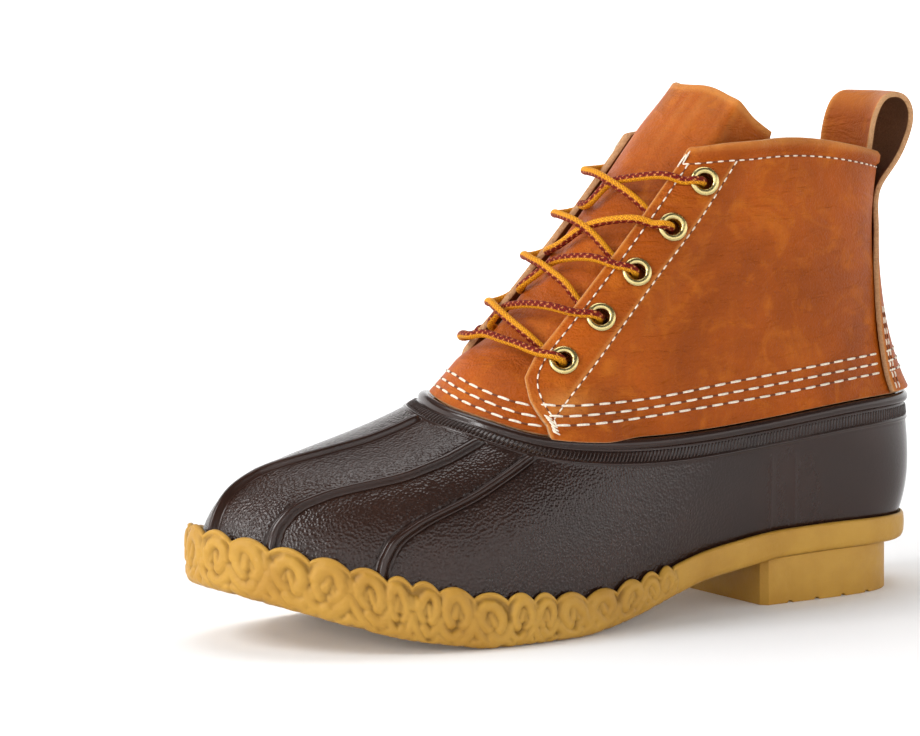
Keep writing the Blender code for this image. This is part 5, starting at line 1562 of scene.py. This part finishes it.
class Stitching(bpy.types.Operator):
    """Every row of stitches: three large ones round the rim, the fine ones of facing, edge, top and strip"""
    bl_idname = "boot.stitching"
    bl_label = "Stitching"

    def execute(self, context):
        cream = look("thread", thread_look, "bonded_thread_cream", colours().thread)
        # dark: the colour of the pieces that paint the shade in the needle holes between stitches.
        dark = look("needle", thread_look, "needle_gap", colours().hole)
        fine, large = sizes().fine_stitch, sizes().rim_stitch
        big, small = ([], []), ([], [])

        def sew(pile, line):
            for kept, more in zip(pile, line):
                kept.extend(more)

        def on_quarter(u, v):
            return quarter_point(u, v, ON_LEATHER + 0 * u)

        def on_vamp(u, v):
            return pushed(shaft_base, u, v, ON_LEATHER + 0 * u)

        def on_strip(u, v):
            return pushed(shaft_base, u, v, STRIP_WALL + STRIP_GAP + ON_LEATHER + 0 * u)

        table = np.array(RIM_ROWS)
        for column in (1, 2, 3):
            def level(u):
                u = np.asarray(u, float) % STATIONS
                u = np.where(u > ROWS_END, 2 * ROWS_END - u, u)
                u = np.clip(u, 0, ROWS_END)
                return spline_at(table[:, 0], table[:, column], np.atleast_1d(u))

            def edge_at():
                u = 6.2
                for _ in range(30):
                    u = float(throat_edge(level(u)[0]))
                return u

            front = edge_at()
            at_strip = self.strip_edge(level)
            for start, end, surface in (
                (front - 0.09, at_strip + 0.015, on_quarter), (at_strip - 0.05, -at_strip + 0.05, on_strip),
                (-at_strip - 0.015, mirrored(front) + 0.09 - STATIONS, on_quarter),
                (front + 0.10, mirrored(front) - 0.10, on_vamp),
            ):
                u = np.linspace(start, end, 300)
                sew(big, stitch_line(u, level(u), surface, large, RIM_SHARE))
        for side in (1, -1):
            def across(u):
                return u if side == 1 else mirrored(u)

            v = np.linspace(0.065, 0.955, 120)
            vs, us = np.array(FACING).T
            u = spline_at(vs, us, np.clip(v, vs[0], vs[-1]))
            sew(small, stitch_line(across(u), v, on_quarter, fine, FINE_SHARE))
            v = np.linspace(0.045, 0.955, 160)
            edge = throat_edge(v)
            edge = np.convolve(np.pad(edge, 6, mode="edge"), np.ones(13) / 13, mode="valid")
            inset = 3.3 * MM / np.maximum(self.per_place(edge, v), 1e-6)
            sew(small, stitch_line(across(edge - inset), v, on_quarter, fine, FINE_SHARE))
        v_top = 1 - 4.7 * MM / SHAFT_LENGTH
        front = float(throat_edge(v_top))
        u = np.linspace(front - 0.12, mirrored(front) - STATIONS + 0.12, 400)
        sew(small, stitch_line(u, v_top + 0 * u, on_quarter, TOP_STITCH, TOP_SHARE))
        for side in (1, -1):
            for inset in STRIP_INSETS:
                v = np.linspace(0.02, 0.42, 60)
                places = []
                for level_v in v:
                    half = strip_half(level_v)
                    share = side * (half - inset * MM) / half
                    out = STRIP_WALL + STRIP_GAP + ON_LEATHER
                    places.append(strip_row(level_v, out, half, np.array([share]))[0])
                sew(small, self.plain_line(np.array(places), v, side, fine))
        threads("rim_stitches", big[0], RIM_THREAD, cream)
        # The needle-gap pieces are painted shade: dark threads sunk between the stitches.
        threads("rim_needle_gaps", big[1], RIM_GAP, dark)
        threads("fine_stitches", small[0], FINE_THREAD, cream)
        threads("fine_needle_gaps", small[1], FINE_GAP, dark)
        self.bartacks(on_quarter, cream)
        return {"FINISHED"}

    def per_place(self, u, v):
        """Metres along the leather for one place round the foot."""
        return np.linalg.norm(shaft_base(u + 0.02, v) - shaft_base(u - 0.02, v), axis=-1) / 0.04

    def strip_edge(self, level):
        """Place round the foot where the back strip's edge crosses a row."""
        v = float(level(1.0)[0])
        near = np.linspace(0.0, 2.2, 200)
        line = pushed(shaft_base, near, v + 0 * near, STRIP_WALL + 0 * near)
        run = run_along(line)
        return float(np.interp(strip_half(v), run, near))

    def plain_line(self, points, v, side, pitch):
        """Even stitches along points already on the strip, like stitch_line."""
        run = run_along(points)
        count = int(run[-1] / pitch)
        step = run[-1] / count
        normals = normals_of(shaft_base, np.full(len(v), 1.1 * side), v)
        made, gaps = [], []
        for i in range(count):
            a, b, c, d = [point_along((i + s) * step, run, points)
                          for s in (0, FINE_SHARE, FINE_SHARE - GAP_LAP, 1 + GAP_LAP)]
            k = min(len(run) - 1, int(np.searchsorted(run, (i + FINE_SHARE / 2) * step)))
            made.append((a, b, normals[k]))
            gaps.append((c, d, normals[k]))
        return made, gaps[:-1]

    def bartacks(self, surface, cream):
        """A close zigzag at the facing's lower corner, and two single stitches at its top corner."""
        runs = []
        for side in (1, -1):
            def place(u, v):
                u, v = np.array([u if side == 1 else mirrored(u)]), np.array([v])
                return surface(u, v)[0], normals_of(shaft_base, u, v)[0]

            for i in range(9):
                v = 0.010 + i * 0.0070
                a, normal = place(float(throat_edge(v)) - 0.12 + 0.04 * (i % 2), v)
                b, _ = place(float(throat_edge(v + 0.011)) - 0.02, v + 0.011)
                runs.append((a, b, normal))
            for start, end in TOP_CORNER:
                a, normal = place(*start)
                runs.append((a, place(*end)[0], normal))
        threads("bartacks", runs, TACK_THREAD, cream)


# ---- Lace ----
BRAID_STRANDS, BRAID_STEP = 8, 1.9 * MM
LACE_SIDES, LACE_RING = 24, 0.38 * MM
# A run over an eyelet's rim and down its hole: mm from the axis, and mm over the leather.
DIVE = ((6.0, 0.80), (4.6, 1.45), (3.0, 1.30), (1.4, 0.25), (0.35, -1.7), (0.1, -4.6), (0.1, -6.2))


def flat_way(centre, normal, toward):
    """Unit vector in an eyelet's plane from its centre towards a point."""
    away = toward - centre
    away = away - normal * (away @ normal)
    return away / np.linalg.norm(away)


def braid(around, length):
    """Braid relief at shares around the lace and lengths in metres: height and pale ticks."""
    strands, step = BRAID_STRANDS, BRAID_STEP
    one = around * strands + length / step * 2
    two = around * strands - length / step * 2
    lead = (np.floor(one) + np.floor(two)) % 2
    p, q = one - np.floor(one), two - np.floor(two)
    crown_one = np.sin(np.pi * p) * (0.65 + 0.35 * np.sin(np.pi * q))
    crown_two = np.sin(np.pi * q) * (0.65 + 0.35 * np.sin(np.pi * p))
    height = np.where(lead < 1, crown_one, crown_two)
    tick = ((np.floor(one) % 3) == 1) & (lead < 1)
    return height, tick.astype(float) * smooth_step((height - 0.35) / 0.3)


class Lace(bpy.types.Operator):
    """One round lace, laced through all ten eyelets, crossing under and over as on the real boot"""
    bl_idname = "boot.lace"
    bl_label = "Lace"

    def execute(self, context):
        holes = eyelet_places()
        parts = []
        for name, run in LACE_RUNS.items():
            points = [pushed(shaft_base, np.array([u]), np.array([v]), np.array([h * MM]))[0]
                      for u, v, h in run]
            if name == "bar":
                head = self.dive(*holes["lateral_5"], points[0])[::-1]
                tail = self.dive(*holes["medial_5"], points[-1], 0.5)
            else:
                kind, number = name.split("_")
                to, start = ("lateral_", "medial_") if kind == "up" else ("medial_", "lateral_")
                head = self.hidden(*holes[start + str(int(number) + 1)], points[0])
                tail = self.dive(*holes[to + number], points[-1], 0.0 if kind == "up" else 0.5)
            parts.append(self.tube(np.array(head + points + tail), math.radians(LACE_TURNS[name])))
        points, faces, marks, start = [], [], {"round_lace": [], "strand": [], "tick": []}, 0
        for p, f, m in parts:
            points.append(p)
            faces += [tuple(i + start for i in face) for face in f]
            for key in marks:
                marks[key].append(m[key])
            start += len(p)
        made = build("lace", np.concatenate(points), faces, look("lace", lace_look, colours()),
                     {k: np.concatenate(v) for k, v in marks.items()})
        dress(made, "lace", "lace_cross_1", "lace_cross_2", "lace_cross_3", "lace_cross_4", "lace_bar")
        return {"FINISHED"}

    def dive(self, centre, normal, toward, low=0.0):
        """Points over an eyelet's rim and down its hole."""
        away, rise = flat_way(centre, normal, toward), sizes().lace_radius
        return [centre + away * r * MM + normal * ((h - low) * MM + rise * (1.0 if h > 0 else 0.4))
                for r, h in DIVE]

    def hidden(self, centre, normal, toward):
        """Points of the lace behind the leather, from the eyelet below to where it comes out."""
        start = centre + normal * (-LEATHER_WALL - sizes().lace_radius - 0.5 * MM)
        away = flat_way(centre, normal, toward)
        return [start + away * 2.0 * MM, start * 0.5 + toward * 0.5 + normal * -0.2 * MM]

    def tube(self, points, turn):
        """One run of braided lace: points, faces and marks. It keeps the same side towards the camera."""
        run = run_along(points)
        count = int(run[-1] / LACE_RING)
        length = np.linspace(0.0, run[-1], count)
        line = spline_at(run, points, length)
        tangent = np.gradient(line, axis=0)
        tangent /= np.linalg.norm(tangent, axis=1, keepdims=True)
        sides = LACE_SIDES
        up = np.zeros_like(line)
        guide = camera_axes()[1]
        current = guide - tangent[0] * (guide @ tangent[0])
        for i in range(count):
            current = current - tangent[i] * (current @ tangent[i])
            wanted = guide - tangent[i] * (guide @ tangent[i])
            wanted = wanted / max(np.linalg.norm(wanted), 1e-3)
            current = current / np.linalg.norm(current) * 0.85 + 0.15 * wanted
            current -= tangent[i] * (current @ tangent[i])
            current /= np.linalg.norm(current)
            up[i] = current
        side = np.cross(tangent, up)
        around = np.arange(sides) / sides
        angle = np.broadcast_to(2 * math.pi * around[None, :] + turn, (count, sides))
        shares, lengths = np.broadcast_arrays(around[None, :], length[:, None])
        height, tick = braid(shares, lengths)
        radius = sizes().lace_radius * (0.88 + 0.14 * height)
        ends = np.minimum(length, run[-1] - length) / (1.2 * MM)
        radius = radius * np.sqrt(np.clip(1 - (1 - np.clip(ends, 0, 1)) ** 2, 0.02, 1))[:, None]
        ring = np.cos(angle)[..., None] * up[:, None] + np.sin(angle)[..., None] * side[:, None]
        tube = line[:, None] + ring * radius[..., None]
        maroon = smooth_step((np.cos(2 * math.pi * around) + 0.05) / 0.25)
        # strand marks the crowns of the braid; the lace material paints shade where it is low.
        marks = {
            "round_lace": np.broadcast_to(maroon[None, :], (count, sides)).ravel(),
            "strand": smooth_step((height - 0.38) / 0.45).ravel(), "tick": tick.ravel(),
        }
        faces = [tuple(f) for f in grid_faces(count, sides, wrap=True)]
        faces += [tuple(range(sides)), tuple(range((count - 1) * sides, count * sides))]
        return tube.reshape(-1, 3), faces, marks


class Footbed(bpy.types.Operator):
    """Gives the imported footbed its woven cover"""
    bl_idname = "boot.footbed"
    bl_label = "Footbed"

    def execute(self, context):
        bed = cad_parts["insole"]
        bed.data.materials.clear()
        bed.data.materials.append(look("footbed", footbed_look, colours()))
        return {"FINISHED"}


# ---- Studio ----
CAMERA_PLACE = (0.8560, 1.2101, 0.2476)
CAMERA_TURN = 0.53278
CAMERA_PITCH = 0.11003
CAMERA_ROLL = -0.009994
CAMERA_LENS = 153.49
SENSOR_WIDTH = 36.0
WORLD_STRENGTH = 0.17
# Lamps: place in metres from the aim to the view's right, towards the camera and up; size; power.
LAMPS = (
    ("key", (-1.15, 0.40, 1.0), (0.55, 0.6), 12.0), ("top", (-0.10, -0.45, 1.35), (1.2, 0.7), 9.0),
    ("fill", (1.3, 1.1, 0.8), (0.9, 0.9), 1.0), ("front", (-0.5, 1.9, 1.2), (0.9, 0.7), 2.2),
    ("low", (-1.35, 1.05, 0.42), (0.28, 0.5), 7.0),
)
AIM = np.array([0.085, 0.0, 0.09])
# The floor lies a hair under the sole, so that the two faces never coincide.
FLOOR = -0.0001


def camera_axes():
    """Unit vectors of the photograph's view: right, up and back towards the camera."""
    c, s = math.cos(CAMERA_TURN), math.sin(CAMERA_TURN)
    cp, sp = math.cos(CAMERA_PITCH), math.sin(CAMERA_PITCH)
    right, up = np.array([-c, s, 0.0]), np.array([-s * sp, -c * sp, cp])
    back = np.array([s * cp, c * cp, sp])
    cr, sr = math.cos(CAMERA_ROLL), math.sin(CAMERA_ROLL)
    return right * cr + up * sr, up * cr - right * sr, back


class Studio(bpy.types.Operator):
    """Pale sweep, soft boxes and the camera at the photograph's angle"""
    bl_idname = "boot.studio"
    bl_label = "Studio"

    def execute(self, context):
        self.sweep()
        right, up, back = camera_axes()
        level = np.array([back[0], back[1], 0]) / math.hypot(back[0], back[1])
        world_up = np.array([0, 0, 1.0])
        for name, (x, y, z), (wide, tall), power in LAMPS:
            data = bpy.data.lights.new(name, "AREA")
            data.shape, data.size, data.size_y, data.energy = "RECTANGLE", wide, tall, power
            lamp = placed(name, data)
            place = AIM + right * x + level * y + world_up * z
            lamp.matrix_world = Matrix.Translation(Vector(place)) @ (
                Vector(place - AIM).to_track_quat("Z", "Y").to_matrix().to_4x4())
        world = bpy.data.worlds.new("studio_air")
        world.use_nodes = True
        air = world.node_tree.nodes["Background"]
        air.inputs["Color"].default_value = srgb("#ffffff")
        air.inputs["Strength"].default_value = WORLD_STRENGTH
        bpy.context.scene.world = world
        data = bpy.data.cameras.new("photo_camera")
        data.lens, data.sensor_width = CAMERA_LENS, SENSOR_WIDTH
        data.clip_start, data.clip_end = 0.05, 60.0
        camera = placed("photo_camera", data)
        camera.matrix_world = Matrix.Translation(CAMERA_PLACE) @ Matrix(
            [(*row, 0.0) for row in np.stack([right, up, back], 1).tolist()] + [(0, 0, 0, 1)])
        bpy.context.scene.camera = camera
        bpy.context.scene.view_settings.view_transform = "Standard"
        return {"FINISHED"}

    def sweep(self):
        """A pale floor that curves up all round and glows as painted light: faintly near the boot, more
        strongly farther out.
        """
        deselect()
        section = [(0.0, FLOOR), (2.0, FLOOR), (6.0, FLOOR), (14.0, FLOOR)]
        section += [(14 + 3 * math.sin(a), 3 - 3 * math.cos(a)) for a in np.linspace(0.15, math.pi / 2, 9)]
        section += [(17.0, 9.0)]
        steps = 96
        points = [(0.0, 0.0, FLOOR)]
        for r, z in section[1:]:
            turns = np.linspace(0, 2 * math.pi, steps, endpoint=False)
            points += [(r * math.cos(a), r * math.sin(a), z) for a in turns]
        faces = [(0, 1 + i, 1 + (i + 1) % steps) for i in range(steps)]
        faces += [tuple(f[::-1]) for f in grid_faces(len(section) - 1, steps, wrap=True, first=1)]
        mesh = bpy.data.meshes.new("floor")
        mesh.from_pydata(points, [], faces)
        mesh.polygons.foreach_set("use_smooth", [True] * len(mesh.polygons))
        floor = placed("floor", mesh)
        made, tree, shader = blank("painted_sweep", Roughness=0.8, Specular_IOR_Level=0.1)
        shader.inputs["Emission Color"].default_value = srgb("#ffffff")
        where = object_place(tree)
        tone = mixed(tree, noise(tree, where, 300, 2.0), srgb("#f2f2f2"), srgb("#f6f6f6"))
        tree.links.new(tone, shader.inputs["Base Color"])
        # Painted light: the floor's glow grows with distance from the boot, so that the far floor is white.
        far = node(tree, "ShaderNodeVectorMath", links={0: where}, operation="LENGTH").outputs["Value"]
        tree.links.new(ranged(tree, far, 0.35, 1.5, 0.04, 0.85), shader.inputs["Emission Strength"])
        mesh.materials.append(made)


STEPS = (RubberBottom, RimRibs, ChainSole, HeelBlock, Quarters, Tongue, BackStrip, Eyelets, Stitching, Lace,
         Footbed, Studio)


class BootPanel(bpy.types.Panel):
    bl_label = "Duck boot"
    bl_idname = "VIEW3D_PT_duck_boot"
    bl_space_type = "VIEW_3D"
    bl_region_type = "UI"
    bl_category = "Duck boot"

    def draw(self, context):
        for step in STEPS:
            self.layout.operator(step.bl_idname)
        for group in (context.scene.boot_sizes, context.scene.boot_colours):
            for name in group.bl_rna.properties.keys():
                if name not in ("rna_type", "name"):
                    self.layout.prop(group, name)


CLASSES = (BootSizes, BootColours) + STEPS + (BootPanel,)


def register():
    for kind in CLASSES:
        bpy.utils.register_class(kind)
    bpy.types.Scene.boot_sizes = bpy.props.PointerProperty(type=BootSizes)
    bpy.types.Scene.boot_colours = bpy.props.PointerProperty(type=BootColours)


def unregister():
    del bpy.types.Scene.boot_sizes
    del bpy.types.Scene.boot_colours
    for kind in reversed(CLASSES):
        bpy.utils.unregister_class(kind)


def main():
    register()
    for step in STEPS:
        group, name = step.bl_idname.split(".")
        if getattr(getattr(bpy.ops, group), name)() != {"FINISHED"}:
            raise RuntimeError(f"{step.bl_label} didn't finish")


if __name__ == "__main__":
    main()
